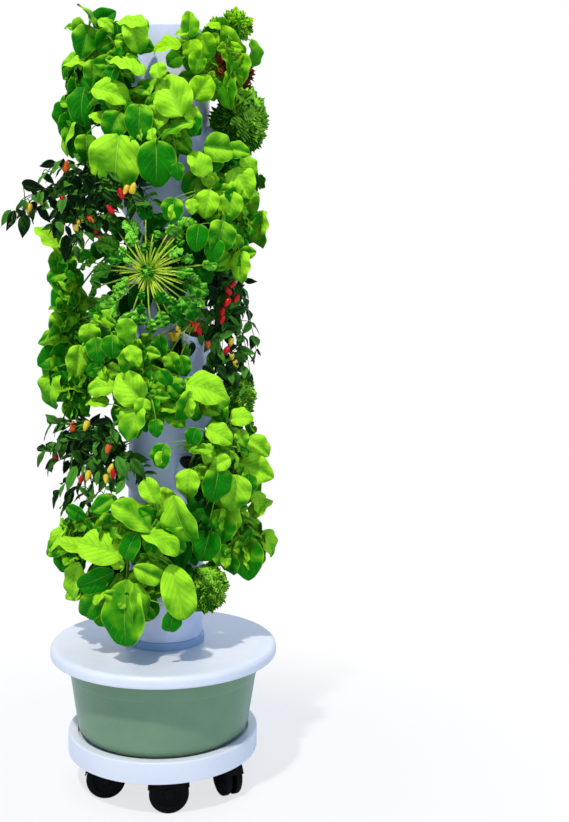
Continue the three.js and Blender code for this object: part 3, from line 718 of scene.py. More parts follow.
def net_pot(growth, level, port):
    """A slotted pot with its collar on the pod's mouth, and the growing block in it."""
    sizes = bpy.context.scene.planter_sizes
    place = pod_matrix(level, port)
    top, collar = sizes.pod_bore - NET_POT_GAP, sizes.pod_radius - COLLAR_INSET
    inner, seat = top - NET_POT_WALL, 0.0004
    rim = rounded([(inner, -COLLAR_SINK, 0), (inner, COLLAR_RISE, 0.0004), (collar, COLLAR_RISE, 0.0006),
                   (collar, seat, 0.0003), (top, seat, 0.0003), (top, -COLLAR_SINK, 0)], 2)
    growth.turned(rim, place, POT, sides=24, closed=True)
    for share in HOOP_SHARES:
        radius = top * (1 - share) + NET_POT_FOOT * share
        near, low = radius - HOOP_WALL, -NET_POT_DEPTH * share
        hoop = [(near, low), (radius, low), (radius, low + HOOP_HEIGHT), (near, low + HOOP_HEIGHT)]
        growth.turned(hoop, place, POT, sides=20, closed=True)
    for k in range(BAR_COUNT):
        turn = place @ Matrix.Rotation(k * math.tau / BAR_COUNT, 4, "Z")
        bar = [turn @ Vector((top - BAR_INSET, 0, -BAR_TOP)),
               turn @ Vector((NET_POT_FOOT - BAR_INSET, 0, -NET_POT_DEPTH))]
        growth.tube(bar, (BAR_RADIUS, BAR_RADIUS), POT, sides=4)
    lumps = [((top - BLOCK_GAP) * share, -COLLAR_SINK - BLOCK_LIFT * math.sin(share * 5))
             for share in np.linspace(1, 0, BLOCK_LUMPS)]
    base = BLOCK_LIFT - NET_POT_DEPTH
    growth.turned([(0.0, base), (NET_POT_FOOT - BLOCK_FOOT_GAP, base)] + lumps, place, BLOCK, sides=14)


def spread(count, draw):
    """Even places in a unit disc, from its middle outwards."""
    start = draw.uniform(0, math.tau)
    for index in range(count):
        radius = math.sqrt((index + 0.5) / count)
        angle = start + index * GOLDEN_ANGLE + draw.uniform(-0.25, 0.25)
        yield radius * math.cos(angle), radius * math.sin(angle)


def loose_way(draw, size=1.0):
    return Vector([draw.uniform(-size, size) for _ in range(3)])


def radial(place):
    """The level direction from the column's axis to a place."""
    return Vector((place.x, place.y, 0)).normalized()


def nearest(points, place):
    return min(points, key=lambda point: (point - place).length_squared)


# The pairs of leaves on a shoot: their share of its leaf length, their lean off the branch in degrees, and
# how far back from the tip they stand, in leaf lengths
PAIRS = ((1.0, 84, 0.5), (0.92, 68, 0.3), (0.72, 50, 0.14), (0.42, 30, 0.03))


def shoot(growth, form, tip, ahead, size, root, stalk):
    """Crossed pairs of leaves round the end of a branch, the lowest pair the largest."""
    draw = growth.draw
    ahead = ahead.normalized()
    side = ahead.orthogonal().normalized()
    side.rotate(Matrix.Rotation(draw.uniform(0, math.tau), 3, ahead))
    branch = bowed(root, tip, UP * (tip - root).length * 0.18, 6)
    growth.tube(branch, (stalk * 1.3, stalk * 0.8), STALK)
    growth.twigs += branch[2:]
    for pair, (share, lean, back) in enumerate(PAIRS):
        for half in (0, 1):
            turn = math.pi / 2 * pair + math.pi * half + draw.uniform(-0.35, 0.35)
            way = Matrix.Rotation(turn, 3, ahead) @ side
            angle = math.radians(lean + draw.uniform(-14, 14))
            along = ahead * math.cos(angle) + way * math.sin(angle) - UP * 0.22
            facing = ahead * math.sin(angle) - way * math.cos(angle) + loose_way(draw, 0.22)
            foot = tip - ahead * size * back
            base = foot + along.normalized() * size * 0.16 * share
            path = [foot, (foot + base) / 2 + UP * 0.001, base + along.normalized() * size * JOINT_SHARE]
            growth.tube(path, (stalk * 0.7, stalk * 0.45), STALK, sides=5)
            growth.leaf(form, base, along, facing, size * share * draw.uniform(0.85, 1.12), BLADE,
                        DARKEST * draw.random() ** 0.6)


def laid_leaf(growth, form, look, row, radius, seen, stalk, shade):
    """One leaf laid out in the photograph's pixels: its middle, its length, the way that its tip points, its
    tone and, if it is given, its roll."""
    u, v, pixels, degrees, tone, *roll = row
    tone = min(tone + shade, DARKEST)
    draw = growth.draw
    middle = seen(u, v, radius)
    size = pixels * (EYE - middle).length / FOCAL_PIXELS
    turn = math.radians(degrees)
    tip_way = EYE_RIGHT * math.cos(turn) - EYE_UP * math.sin(turn) + loose_way(draw, 0.12)
    to_eye = (EYE - middle).normalized()
    facing = to_eye * 0.8 + UP * (0.6 - 0.5 * tone) + loose_way(draw, 0.15)
    tip_way = (tip_way + to_eye * 0.12).normalized()
    rolled = math.radians(roll[0]) if roll else draw.uniform(-0.65, 0.65)
    facing.rotate(Matrix.Rotation(rolled, 3, tip_way))
    base = middle - tip_way * size * 0.5 - to_eye * 0.004
    root = nearest(growth.twigs, base - UP * 0.01)
    path = bowed(root, base + tip_way * size * JOINT_SHARE, UP * 0.015)
    growth.tube(path, (stalk * 0.8, stalk * 0.5), STALK, sides=5)
    growth.leaf(form, base, tip_way, facing, size * 1.06, look, tone)


def mass(growth, form, look, row, radius, seen, stalk):
    """A clump of leaves over an oval of the photograph, the deeper ones painted darker as painted shade."""
    u, v, half_u, half_v, count, pixels = row
    draw = growth.draw
    for x, y in spread(count, draw):
        depth = draw.random()
        middle = seen(u + x * half_u, v + y * half_v, radius - 0.02 - 0.06 * depth)
        size = pixels * draw.uniform(0.75, 1.25) * (EYE - middle).length / FOCAL_PIXELS
        to_eye = (EYE - middle).normalized()
        tip_way = EYE_RIGHT * x * 0.8 - EYE_UP * (y * 0.6 + 0.45) + to_eye * 0.3 + loose_way(draw, 0.6)
        tip_way.normalize()
        facing = to_eye * 0.7 + UP * 0.6 + loose_way(draw, 0.45)
        base = middle - tip_way * size * 0.5
        root = nearest(growth.twigs, base)
        path = bowed(root, base + tip_way * size * JOINT_SHARE, UP * 0.008, 4)
        growth.tube(path, (stalk * 0.7, stalk * 0.45), STALK, sides=5)
        # Painted shade: the deeper a leaf stands in the clump, the darker its tone
        tone = min(0.55 + 0.45 * depth + draw.uniform(-0.2, 0.03), DARKEST)
        growth.leaf(form, base, tip_way, facing, size, look, tone)


def twig(growth, tip, root, size, stalk):
    """A thin woody twig with narrow leaves by turns along it."""
    draw = growth.draw
    way = tip - root
    path = bowed(root, tip, UP * way.length * 0.22 + loose_way(draw, 0.01), 9)
    growth.tube(path, (stalk * 1.1, stalk * 0.45), STALK, sides=5)
    growth.twigs += path[2:]
    outwards = radial(tip)
    for index in range(2, 10):
        here = path[index]
        ahead = (path[index] - path[index - 1]).normalized()
        for half in (-1, 1):
            side = ahead.cross(outwards).normalized() * half
            along = ahead * 0.55 + side * 0.8 - UP * 0.25 + loose_way(draw, 0.45)
            facing = outwards * 0.5 + UP * 0.7 + loose_way(draw, 0.5)
            growth.leaf("pepper", here, along, facing, size * draw.uniform(0.65, 1.2), BLADE)


# A fruit and its cap in shares of its length: radius and height, from the tip of the fruit upwards
FRUIT_SHARES = ((0, 0), (0.16, 0), (0.25, 0.06), (0.29, 0.22), (0.27, 0.5), (0.2, 0.76), (0.1, 0.94), (0, 1))
CAP_SHARES = ((0, -0.57), (0.12, -0.56), (0.2, -0.48), (0, -0.46))


def fruit(growth, place, size, look):
    """A small pepper with its cap, on a stalk from the nearest twig."""
    draw = growth.draw
    root = nearest(growth.twigs, place + UP * size)
    lean = (UP + loose_way(draw, 0.6)).normalized() * draw.choice((1, 1, -1))
    if (root - place).dot(lean) < 0:
        lean = -lean
    side = lean.orthogonal().normalized()
    matrix = Matrix((side, (-lean).cross(side), -lean)).transposed().to_4x4()
    matrix.translation = place
    growth.turned([(r * size, (z - 0.5) * size) for r, z in FRUIT_SHARES], matrix, look, sides=12)
    growth.turned([(r * size, z * size) for r, z in CAP_SHARES], matrix, STALK, sides=8)
    top = place + lean * size * 0.54
    growth.tube(bowed(top, root, lean * size * 0.5, 4), (0.0013, 0.0011), STALK, sides=5)


# Each plant, by level and port, in the photograph's pixels and in metres. reach is its leaves' distance from
# the column's axis, and shade darkens its laid leaves. nearness and least are those of sighted. Its parts:
# curls: middle, half width, half height, count, frond length and look
# rosette: its heart, the middles and lengths of its leaflets, and the shaded leaves behind them
# shoots: tip, leaf length and distance from the axis; twigs: tip and distance
# mass and backs: middle, half width, half height, count and leaf length
# leaves: middle, length, where the tip points in degrees clockwise from the right, tone and perhaps the roll
# fruit: place and hue, 0 for red, 1 for yellow and 2 for orange
PLANTS = {
    (9, 3): dict(
        kind="lettuce", form="basil", reach=0.215,
        curls=[(241, 25, 14, 13, 26, 0.038, "lettuce"), (218, 27, 9, 8, 10, 0.034, "lettuce"),
               (222, 62, 9, 9, 10, 0.034, "red"), (248, 76, 7, 9, 10, 0.032, "red")],
        shoots=[(188, 50, 0.052, 0.185), (206, 48, 0.058, 0.21), (226, 46, 0.06, 0.23),
                (208, 80, 0.055, 0.2), (234, 72, 0.055, 0.235)],
        mass=[(216, 60, 26, 32, 14, 27)],
        leaves=[(190, 23, 25, 280, 0.6), (166, 44, 28, 185, 0.02, 12), (192, 50, 22, 100, 0.2),
                (205, 45, 24, 60, 0.2), (227, 40, 28, 30, 0.15), (213, 24, 16, 220, 0.05),
                (258, 51, 26, 70, 0.6, -62), (236, 68, 32, 100, 0.45), (203, 87, 28, 300, 0.3, 30),
                (227, 91, 30, 95, 0.85), (197, 62, 20, 95, 0.5), (182, 32, 12, 190, 0.05)]),
    (9, 2): dict(
        kind="basil", reach=0.235,
        shoots=[(86, 45, 0.062, 0.23), (116, 62, 0.066, 0.235), (98, 86, 0.066, 0.23), (130, 40, 0.06, 0.2),
                (84, 105, 0.052, 0.225), (76, 70, 0.05, 0.24)],
        mass=[(100, 62, 28, 44, 22, 28), (78, 112, 10, 26, 6, 25)],
        leaves=[(90, 15, 26, 250, 0.6, 62), (107, 24, 18, 30, 0.1), (132, 20, 29, 200, 0.1),
                (136, 36, 29, 75, 0.15), (85, 40, 29, 110, 0.55), (73, 27, 16, 200, 0.7, 50),
                (78, 60, 32, 195, 0.3), (129, 64, 34, 215, 0.1), (111, 91, 38, 15, 0.1),
                (93, 73, 25, 90, 0.5), (80, 104, 36, 97, 0.9, 40), (68, 132, 40, 128, 0.2, 42),
                (73, 145, 22, 90, 0.85)],
        backs=[(98, 74, 26, 38, 10, 28)]),
    (8, 3): dict(
        kind="basil", reach=0.235,
        shoots=[(150, 92, 0.06, 0.2), (172, 98, 0.066, 0.215), (138, 122, 0.07, 0.22),
                (172, 132, 0.062, 0.2), (118, 112, 0.06, 0.22)],
        mass=[(150, 122, 38, 44, 26, 34)],
        leaves=[(172, 94, 46, 240, 0.05), (158, 69, 18, 260, 0.1), (139, 121, 35, 95, 0.7),
                (177, 127, 34, 160, 0.75), (157, 163, 45, 92, 0.72), (115, 163, 58, 95, 0.14, 12),
                (177, 171, 18, 90, 0.8), (99, 116, 20, 230, 0.1), (114, 124, 28, 110, 0.6),
                (87, 147, 26, 80, 0.5), (192, 115, 18, 60, 0.1), (152, 136, 16, 90, 0.05),
                (98, 160, 26, 100, 0.35), (193, 122, 24, 95, 0.6)],
        backs=[(146, 124, 38, 42, 14, 32)]),
    (8, 0): dict(
        kind="kale", nearness=0.5, reach=0.245,
        curls=[(251, 121, 28, 33, 280, 0.036, "kale")]),
    (8, 2): dict(
        kind="basil", nearness=-0.3, reach=0.25,
        shoots=[(74, 68, 0.05, 0.25), (72, 104, 0.05, 0.25)],
        mass=[(72, 120, 8, 26, 6, 25)]),
    (7, 3): dict(
        kind="basil", reach=0.24,
        shoots=[(205, 166, 0.058, 0.21), (216, 190, 0.062, 0.225), (236, 196, 0.062, 0.24),
                (226, 228, 0.06, 0.23), (240, 252, 0.056, 0.24), (250, 222, 0.05, 0.25)],
        mass=[(224, 205, 28, 58, 28, 29)],
        leaves=[(200, 163, 28, 260, 0.15), (220, 148, 32, 0, 0.35), (238, 150, 22, 10, 0.5),
                (250, 166, 24, 60, 0.3), (242, 181, 32, 60, 0.1), (207, 203, 28, 100, 0.1),
                (230, 206, 30, 95, 0.08), (259, 228, 36, 100, 0.2, 45), (172, 210, 25, 100, 0.7),
                (173, 212, 15, 100, 0.03), (192, 206, 15, 90, 0.1), (220, 237, 34, 95, 0.5),
                (240, 266, 31, 95, 0.08), (197, 237, 27, 95, 0.9), (214, 250, 24, 120, 0.85)],
        backs=[(226, 208, 26, 52, 14, 29)]),
    (7, 2): dict(
        kind="pepper", least=0.2, reach=0.25,
        twigs=[(12, 222, 0.31), (25, 200, 0.3), (42, 192, 0.28), (48, 172, 0.27), (70, 184, 0.25),
               (80, 214, 0.25), (100, 190, 0.23), (58, 222, 0.26), (96, 232, 0.235), (120, 192, 0.21),
               (134, 204, 0.19), (76, 246, 0.24), (152, 200, 0.17), (64, 198, 0.26), (86, 176, 0.24),
               (110, 212, 0.22), (34, 214, 0.29), (84, 232, 0.245)],
        mass=[(90, 190, 38, 20, 46, 19), (68, 222, 22, 16, 20, 17), (100, 212, 18, 18, 18, 18)],
        leaves=[(6, 217, 17, 117, 0.0), (11, 220, 20, 112, 0.6), (24, 225, 22, 94, 0.6),
                (20, 213, 10, 52, 0.8), (32, 214, 12, 86, 0.7), (44, 214, 18, 56, 0.7),
                (32, 186, 22, 20, 0.8), (34, 191, 14, 80, 0.9), (48, 178, 15, 35, 0.8),
                (48, 164, 15, 170, 0.9), (57, 165, 12, 310, 0.1), (73, 168, 16, 37, 0.6),
                (62, 221, 23, 355, 0.1), (81, 214, 20, 352, 0.15), (58, 232, 15, 305, 0.4),
                (66, 248, 26, 95, 0.7), (81, 244, 14, 65, 0.2), (92, 208, 15, 100, 0.2),
                (72, 240, 16, 120, 0.5), (54, 204, 16, 60, 0.8), (108, 196, 17, 30, 0.7),
                (88, 184, 16, 150, 0.7), (138, 198, 14, 20, 0.6)],
        fruit=[(64, 201, 0), (121, 193, 0), (126, 190, 1), (133, 188, 1), (66, 166, 2), (91, 220, 2),
               (110, 209, 0), (98, 233, 0), (76, 229, 1), (79, 222, 1), (40, 202, 1), (29, 209, 1)]),
    (6, 3): dict(
        kind="rosette", reach=0.235,
        rosette=(150, 272, [(110, 221, 25), (145, 211, 16), (132, 226, 18), (184, 221, 19), (170, 229, 12),
                 (178, 234, 11), (108, 243, 22), (115, 257, 17), (97, 270, 27), (127, 255, 10),
                 (154, 236, 12), (132, 240, 13), (142, 249, 10), (175, 252, 15), (187, 257, 13),
                 (210, 264, 14), (182, 271, 13), (197, 286, 24), (194, 276, 10), (191, 306, 24),
                 (174, 307, 15), (160, 296, 14), (139, 316, 17), (162, 319, 15), (171, 319, 11),
                 (127, 326, 26), (106, 312, 31), (102, 302, 18), (119, 291, 17), (150, 326, 13),
                 (200, 300, 14), (117, 286, 13), (88, 262, 18), (93, 288, 18), (182, 318, 14)],
                 [(150, 268, 56, 52, 34, 25), (196, 240, 12, 12, 5, 28)])),
    (6, 0): dict(
        kind="pepper", nearness=0.6, reach=0.235,
        twigs=[(230, 286, 0.23), (241, 308, 0.235), (226, 322, 0.225), (202, 334, 0.19), (182, 344, 0.17),
               (240, 352, 0.235), (256, 350, 0.25), (230, 374, 0.225), (216, 384, 0.2), (246, 386, 0.24),
               (206, 308, 0.19), (222, 350, 0.215), (212, 340, 0.2), (250, 372, 0.245)],
        mass=[(226, 306, 16, 34, 34, 19), (228, 366, 14, 20, 22, 18), (210, 334, 16, 8, 10, 18)],
        leaves=[(245, 351, 20, 15, 0.35), (247, 374, 20, 55, 0.7), (240, 310, 16, 340, 0.6),
                (234, 320, 15, 35, 0.1), (230, 330, 20, 330, 0.6), (225, 336, 18, 160, 0.5),
                (250, 281, 13, 10, 0.8), (214, 294, 16, 90, 0.8), (220, 278, 14, 90, 0.8),
                (240, 294, 14, 70, 0.7), (186, 321, 18, 150, 0.1), (200, 314, 16, 30, 0.2),
                (178, 350, 26, 95, 0.8), (192, 349, 14, 95, 0.8), (184, 354, 24, 95, 0.2),
                (201, 340, 12, 70, 0.2), (213, 347, 12, 110, 0.05), (218, 346, 16, 90, 0.1),
                (221, 355, 14, 60, 0.1), (212, 357, 18, 95, 0.7), (242, 361, 9, 0, 0.8),
                (208, 370, 14, 30, 0.8), (222, 372, 18, 60, 0.7), (236, 380, 18, 80, 0.6)],
        fruit=[(232, 285, 0), (228, 291, 0), (227, 303, 0), (236, 299, 0), (222, 312, 0), (222, 320, 0),
               (192, 323, 0), (199, 331, 0), (196, 327, 2), (178, 330, 1), (176, 337, 1), (172, 337, 1),
               (208, 345, 2), (231, 342, 1), (227, 350, 0), (232, 357, 1), (236, 364, 1)]),
    (6, 2): dict(
        kind="basil", nearness=-0.3, reach=0.265,
        shoots=[(68, 256, 0.05, 0.25), (64, 284, 0.056, 0.26), (68, 308, 0.05, 0.25)],
        mass=[(68, 275, 10, 36, 14, 27)],
        leaves=[(53, 240, 38, 240, 0.3, 58), (65, 281, 34, 100, 0.4), (67, 306, 18, 90, 0.3),
                (58, 262, 24, 110, 0.5)]),
    (5, 3): dict(
        kind="basil", reach=0.18,
        mass=[(166, 358, 20, 12, 8, 22)],
        leaves=[(172, 362, 20, 70, 0.3), (160, 346, 24, 90, 0.6), (183, 366, 22, 75, 0.5)]),
    (5, 2): dict(
        kind="basil", shade=0.05, reach=0.24,
        shoots=[(68, 326, 0.055, 0.25), (88, 340, 0.058, 0.24), (76, 364, 0.058, 0.25),
                (120, 344, 0.055, 0.22), (142, 350, 0.05, 0.205), (100, 316, 0.05, 0.23),
                (102, 366, 0.05, 0.23)],
        mass=[(82, 342, 36, 42, 30, 27), (120, 352, 22, 16, 8, 24)],
        leaves=[(62, 325, 30, 100, 0.3), (67, 334, 28, 120, 0.1), (90, 335, 23, 85, 0.1),
                (78, 361, 32, 100, 0.12), (60, 355, 26, 130, 0.7), (127, 332, 28, 95, 0.45),
                (134, 355, 23, 60, 0.15), (96, 350, 26, 95, 0.6), (52, 370, 26, 120, 0.15),
                (47, 388, 42, 118, 0.2, 40), (112, 347, 24, 90, 0.5)],
        backs=[(86, 350, 34, 38, 14, 27)]),
    (4, 3): dict(
        kind="basil", reach=0.23,
        shoots=[(136, 374, 0.05, 0.205), (150, 394, 0.058, 0.215), (186, 400, 0.055, 0.21),
                (130, 414, 0.058, 0.215), (204, 390, 0.055, 0.215)],
        mass=[(150, 398, 40, 28, 20, 28), (206, 400, 22, 16, 8, 27)],
        leaves=[(129, 388, 37, 225, 0.08), (131, 421, 37, 120, 0.45), (142, 407, 19, 100, 0.1),
                (187, 407, 33, 95, 0.35), (188, 408, 20, 95, 0.05), (207, 388, 43, 5, 0.08),
                (165, 378, 20, 60, 0.7), (129, 361, 27, 100, 0.25), (100, 385, 30, 190, 0.3),
                (97, 401, 24, 200, 0.5), (156, 428, 18, 90, 0.8)],
        backs=[(156, 400, 38, 24, 8, 28)]),
    (4, 0): dict(
        kind="kale", nearness=0.5, reach=0.23,
        curls=[(245, 397, 18, 23, 130, 0.032, "kale")]),
    (4, 2): dict(
        kind="basil", nearness=-0.3, reach=0.25,
        shoots=[(68, 384, 0.052, 0.24), (70, 404, 0.05, 0.24)],
        mass=[(74, 396, 16, 16, 8, 26)],
        leaves=[(78, 406, 30, 90, 0.35)]),
    (3, 3): dict(
        kind="basil", shade=0.05, reach=0.245,
        shoots=[(216, 440, 0.058, 0.225), (240, 448, 0.062, 0.24), (220, 480, 0.058, 0.225),
                (246, 480, 0.056, 0.24)],
        mass=[(232, 468, 28, 40, 24, 29)],
        leaves=[(160, 457, 28, 100, 0.6), (161, 459, 16, 100, 0.05), (193, 437, 20, 110, 0.8),
                (220, 433, 30, 10, 0.15), (242, 438, 19, 80, 0.1), (256, 469, 37, 20, 0.05),
                (259, 446, 27, 40, 0.15), (187, 484, 31, 95, 0.05), (217, 485, 37, 92, 0.75),
                (235, 493, 37, 95, 0.15), (247, 487, 28, 100, 0.8), (260, 502, 24, 60, 0.1),
                (220, 463, 23, 150, 0.1), (241, 416, 24, 340, 0.12), (204, 448, 20, 200, 0.5)],
        backs=[(212, 506, 22, 34, 12, 29), (206, 462, 16, 22, 6, 27)]),
    (3, 2): dict(
        kind="pepper", reach=0.24,
        twigs=[(52, 424, 0.25), (46, 450, 0.25), (50, 466, 0.25), (60, 490, 0.245), (70, 440, 0.24),
               (86, 426, 0.235), (86, 500, 0.235), (100, 440, 0.225), (104, 494, 0.225), (120, 470, 0.21),
               (142, 474, 0.18), (66, 504, 0.24), (94, 460, 0.23), (112, 428, 0.22), (76, 470, 0.24)],
        mass=[(90, 444, 30, 26, 40, 18)],
        leaves=[(58, 421, 20, 185, 0.8), (60, 428, 12, 150, 0.8), (63, 444, 28, 100, 0.0),
                (55, 447, 20, 20, 0.8), (47, 449, 14, 190, 0.8), (51, 463, 16, 140, 0.6),
                (66, 467, 14, 110, 0.7), (71, 478, 26, 120, 0.1), (69, 498, 20, 110, 0.7),
                (85, 492, 14, 40, 0.7), (90, 499, 16, 150, 0.6), (97, 478, 14, 100, 0.05),
                (122, 468, 26, 65, 0.0), (138, 468, 24, 50, 0.6), (140, 480, 16, 70, 0.8),
                (112, 485, 16, 100, 0.7), (120, 487, 16, 120, 0.1), (100, 422, 18, 170, 0.7),
                (105, 455, 16, 80, 0.4), (78, 458, 18, 60, 0.7)],
        fruit=[(56, 457, 0), (73, 426, 2), (86, 426, 1), (108, 449, 2), (81, 480, 0), (88, 476, 1),
               (111, 468, 1), (113, 474, 0), (106, 479, 1)]),
    (2, 3): dict(
        kind="basil", form="paddle", shade=0.1, reach=0.245,
        shoots=[(122, 520, 0.075, 0.22), (160, 518, 0.078, 0.22), (100, 542, 0.078, 0.23),
                (148, 556, 0.066, 0.22), (84, 520, 0.055, 0.23)],
        mass=[(124, 530, 48, 30, 28, 33)],
        leaves=[(135, 515, 47, 230, 0.45), (178, 521, 52, 80, 0.1), (161, 537, 43, 10, 0.3),
                (102, 548, 46, 200, 0.05), (76, 545, 39, 215, 0.12), (57, 535, 33, 130, 0.15, 35),
                (76, 513, 22, 200, 0.8), (103, 504, 27, 330, 0.75), (150, 491, 27, 250, 0.15),
                (148, 574, 32, 20, 0.1, 45), (178, 591, 54, 75, 0.08), (130, 545, 30, 120, 0.7)],
        backs=[(172, 556, 20, 40, 14, 31), (128, 560, 40, 22, 8, 31)]),
    (2, 0): dict(
        kind="basil", nearness=0.7, shade=0.1, reach=0.245,
        shoots=[(222, 520, 0.058, 0.23), (240, 508, 0.05, 0.24), (244, 545, 0.06, 0.245),
                (224, 552, 0.055, 0.235), (260, 536, 0.046, 0.255)],
        mass=[(240, 540, 24, 30, 20, 28)],
        leaves=[(222, 526, 35, 95, 0.5), (230, 521, 35, 90, 0.12), (259, 506, 27, 300, 0.15),
                (270, 543, 29, 55, 0.1), (247, 558, 43, 95, 0.55), (249, 563, 15, 60, 0.05),
                (206, 547, 33, 110, 0.9), (222, 556, 24, 70, 0.6)]),
    (2, 2): dict(
        kind="basil", nearness=-0.2, reach=0.25,
        shoots=[(66, 528, 0.05, 0.24), (72, 560, 0.055, 0.24)],
        mass=[(70, 545, 14, 24, 8, 27)]),
    (1, 3): dict(
        kind="kale", reach=0.19,
        curls=[(213, 589, 20, 23, 190, 0.03, "kale")]),
    (1, 2): dict(
        kind="basil", form="paddle", shade=0.1, reach=0.24,
        shoots=[(104, 584, 0.075, 0.225), (128, 598, 0.08, 0.225), (84, 590, 0.06, 0.235)],
        mass=[(116, 588, 38, 28, 22, 33)],
        leaves=[(97, 580, 36, 160, 0.7), (140, 602, 38, 70, 0.45), (124, 612, 62, 100, 0.5, 20),
                (74, 580, 36, 110, 0.06), (172, 621, 26, 95, 0.75), (92, 604, 34, 130, 0.5)]),
}

# The plants on the far side, which the photograph doesn't show: kind, number of shoots, twigs or curled
# leaves, and the length of their leaves
FAR_PLANTS = {
    (8, 1): ("basil", 7, 0.07), (6, 1): ("lettuce", 7, 0.062), (4, 1): ("basil", 7, 0.075),
    (2, 1): ("kale", 200, 0.036), (7, 0): ("basil", 6, 0.068), (5, 1): ("pepper", 16, 0.042),
    (3, 0): ("lettuce", 7, 0.062),
}


def plant_materials(kind):
    """A plant's materials, in the order of its looks."""
    colours = bpy.context.scene.planter_colours
    lettuce = dict(sunlit=linear(160, 222, 20), deep=linear(58, 144, 6), vein=linear(190, 226, 90),
                   edge=linear(196, 232, 50), underside=linear(130, 190, 40), veins=5.0, edge_width=0.2)
    blades = {
        "basil": dict(sunlit=tuple(colours.basil), deep=tuple(colours.basil_deep), vein=linear(208, 240, 124),
                      edge=linear(190, 232, 50), underside=linear(84, 156, 14),
                      veins=LEAF_FORMS["basil"]["veins"], vein_width=0.04, edge_width=0.09, crease_shade=0.24),
        "lettuce": lettuce,
        "kale": dict(sunlit=linear(164, 228, 64), deep=tuple(colours.kale), vein=linear(110, 180, 50),
                     edge=linear(160, 238, 30), underside=linear(14, 78, 2), veins=4.0, edge_width=0.2),
        "pepper": dict(sunlit=linear(80, 146, 44), deep=tuple(colours.pepper), vein=linear(50, 92, 40),
                       edge=linear(44, 90, 30), underside=linear(56, 98, 46), veins=5.0, edge_width=0.1),
        "rosette": dict(sunlit=linear(146, 236, 66), deep=linear(4, 96, 4), vein=linear(120, 190, 70),
                        edge=linear(150, 210, 90), underside=linear(60, 130, 30), veins=6.0, edge_width=0.12,
                        blister=0.7, crease_shade=0.85),
    }
    stalks = {
        "basil": (linear(150, 186, 60), linear(112, 160, 40)),
        "lettuce": (linear(190, 210, 100), linear(150, 180, 60)),
        "kale": (linear(110, 150, 50), linear(80, 120, 40)),
        "pepper": (linear(52, 72, 38), linear(30, 46, 26)),
        "rosette": (linear(206, 224, 70), linear(164, 204, 40)),
    }
    return [
        leaf_material(f"{kind}_blade", **blades[kind]),
        mottled_material(f"{kind}_stalk", *stalks[kind], 60, 0.5),
        mottled_material("net_pot_plastic", linear(28, 28, 30), linear(46, 46, 48), 300, 0.5, 0.1),
        mottled_material("growing_block", linear(96, 84, 58), linear(58, 48, 34), 220, 0.95, 0.9, 0.002),
        mottled_material("red_pepper", linear(222, 12, 20), linear(180, 6, 14), 50, 0.22, 0.08),
        mottled_material("yellow_pepper", linear(240, 206, 60), linear(214, 176, 30), 50, 0.24, 0.08),
        mottled_material("orange_pepper", linear(236, 104, 26), linear(206, 72, 14), 50, 0.22, 0.08),
        leaf_material("curled_lettuce_blade", **lettuce),
        leaf_material("red_lettuce_blade", sunlit=linear(176, 84, 36), deep=linear(110, 44, 24),
                      vein=linear(190, 120, 60), edge=linear(200, 110, 50), underside=linear(120, 80, 40),
                      veins=4.0, edge_width=0.2),
        # Painted shade: a darker copy of the blade for the shaded leaves at the back
        leaf_material("back_shade_blade", sunlit=linear(26, 118, 6), deep=linear(8, 78, 4),
                      vein=linear(60, 130, 30), edge=linear(60, 130, 20), underside=linear(30, 90, 10),
                      veins=4.5, edge_width=0.08),
    ]


# The rosette's heart, from the column's axis, and the arch of its stalks
HEART_RADIUS, STALK_ARCH = 0.185, 0.03
# Its bare stalks, with their reach in pixels, and the small blades at its heart
BARE_STALKS, BARE_REACH, HEART_BLADES = 34, (16, 40), 18


def grow_rosette(growth, mouth, axis, group, radius):
    """Long pale stalks that burst from the crown, each with a small crinkled blade."""
    u, v, leaflets, backs = group
    draw = growth.draw
    heart = sighted(u, v, HEART_RADIUS)
    outwards = radial(heart)
    growth.tube(bowed(mouth + axis * 0.004, heart, UP * 0.01), (0.011, 0.009), STALK, sides=8)
    for x, y, pixels in leaflets:
        far = math.hypot(x - u, y - v)
        middle = sighted(x, y, radius + 0.012 - 0.0007 * far + draw.uniform(-0.006, 0.006))
        size = pixels * 1.18 * (EYE - middle).length / FOCAL_PIXELS
        away = (middle - heart).normalized()
        foot = middle - away * size * 0.5
        path = bowed(heart, foot + away * size * 0.06, outwards * STALK_ARCH, 6)
        growth.tube(path, (0.0026, 0.0017), STALK)
        facing = outwards * 0.7 + UP * 0.6 + loose_way(draw, 0.35)
        growth.leaf("rosette", foot, away + outwards * 0.1, facing, size, BLADE)
    for index in range(BARE_STALKS):
        angle = index * GOLDEN_ANGLE
        far = draw.uniform(*BARE_REACH)
        end = sighted(u + far * math.cos(angle), v + far * math.sin(angle), radius - 0.012)
        growth.tube(bowed(heart, end, outwards * STALK_ARCH, 6), (0.0024, 0.0013), STALK)
        if index % 3 == 0:
            facing = outwards + UP * 0.4 + loose_way(draw, 0.5)
            growth.leaf("rosette", end, end - heart, facing, draw.uniform(0.02, 0.03), BLADE)
    for _ in range(HEART_BLADES):
        place = heart + outwards * draw.uniform(0.02, 0.035) + loose_way(draw, 0.014)
        ahead = outwards + loose_way(draw, 0.8)
        growth.leaf("rosette", place, ahead, outwards + UP, draw.uniform(0.01, 0.018), BLADE)
    for row in backs:
        mass(growth, "basil", BACK_SHADE, row, radius - BACK_DEPTH, sighted, STALKS["basil"])


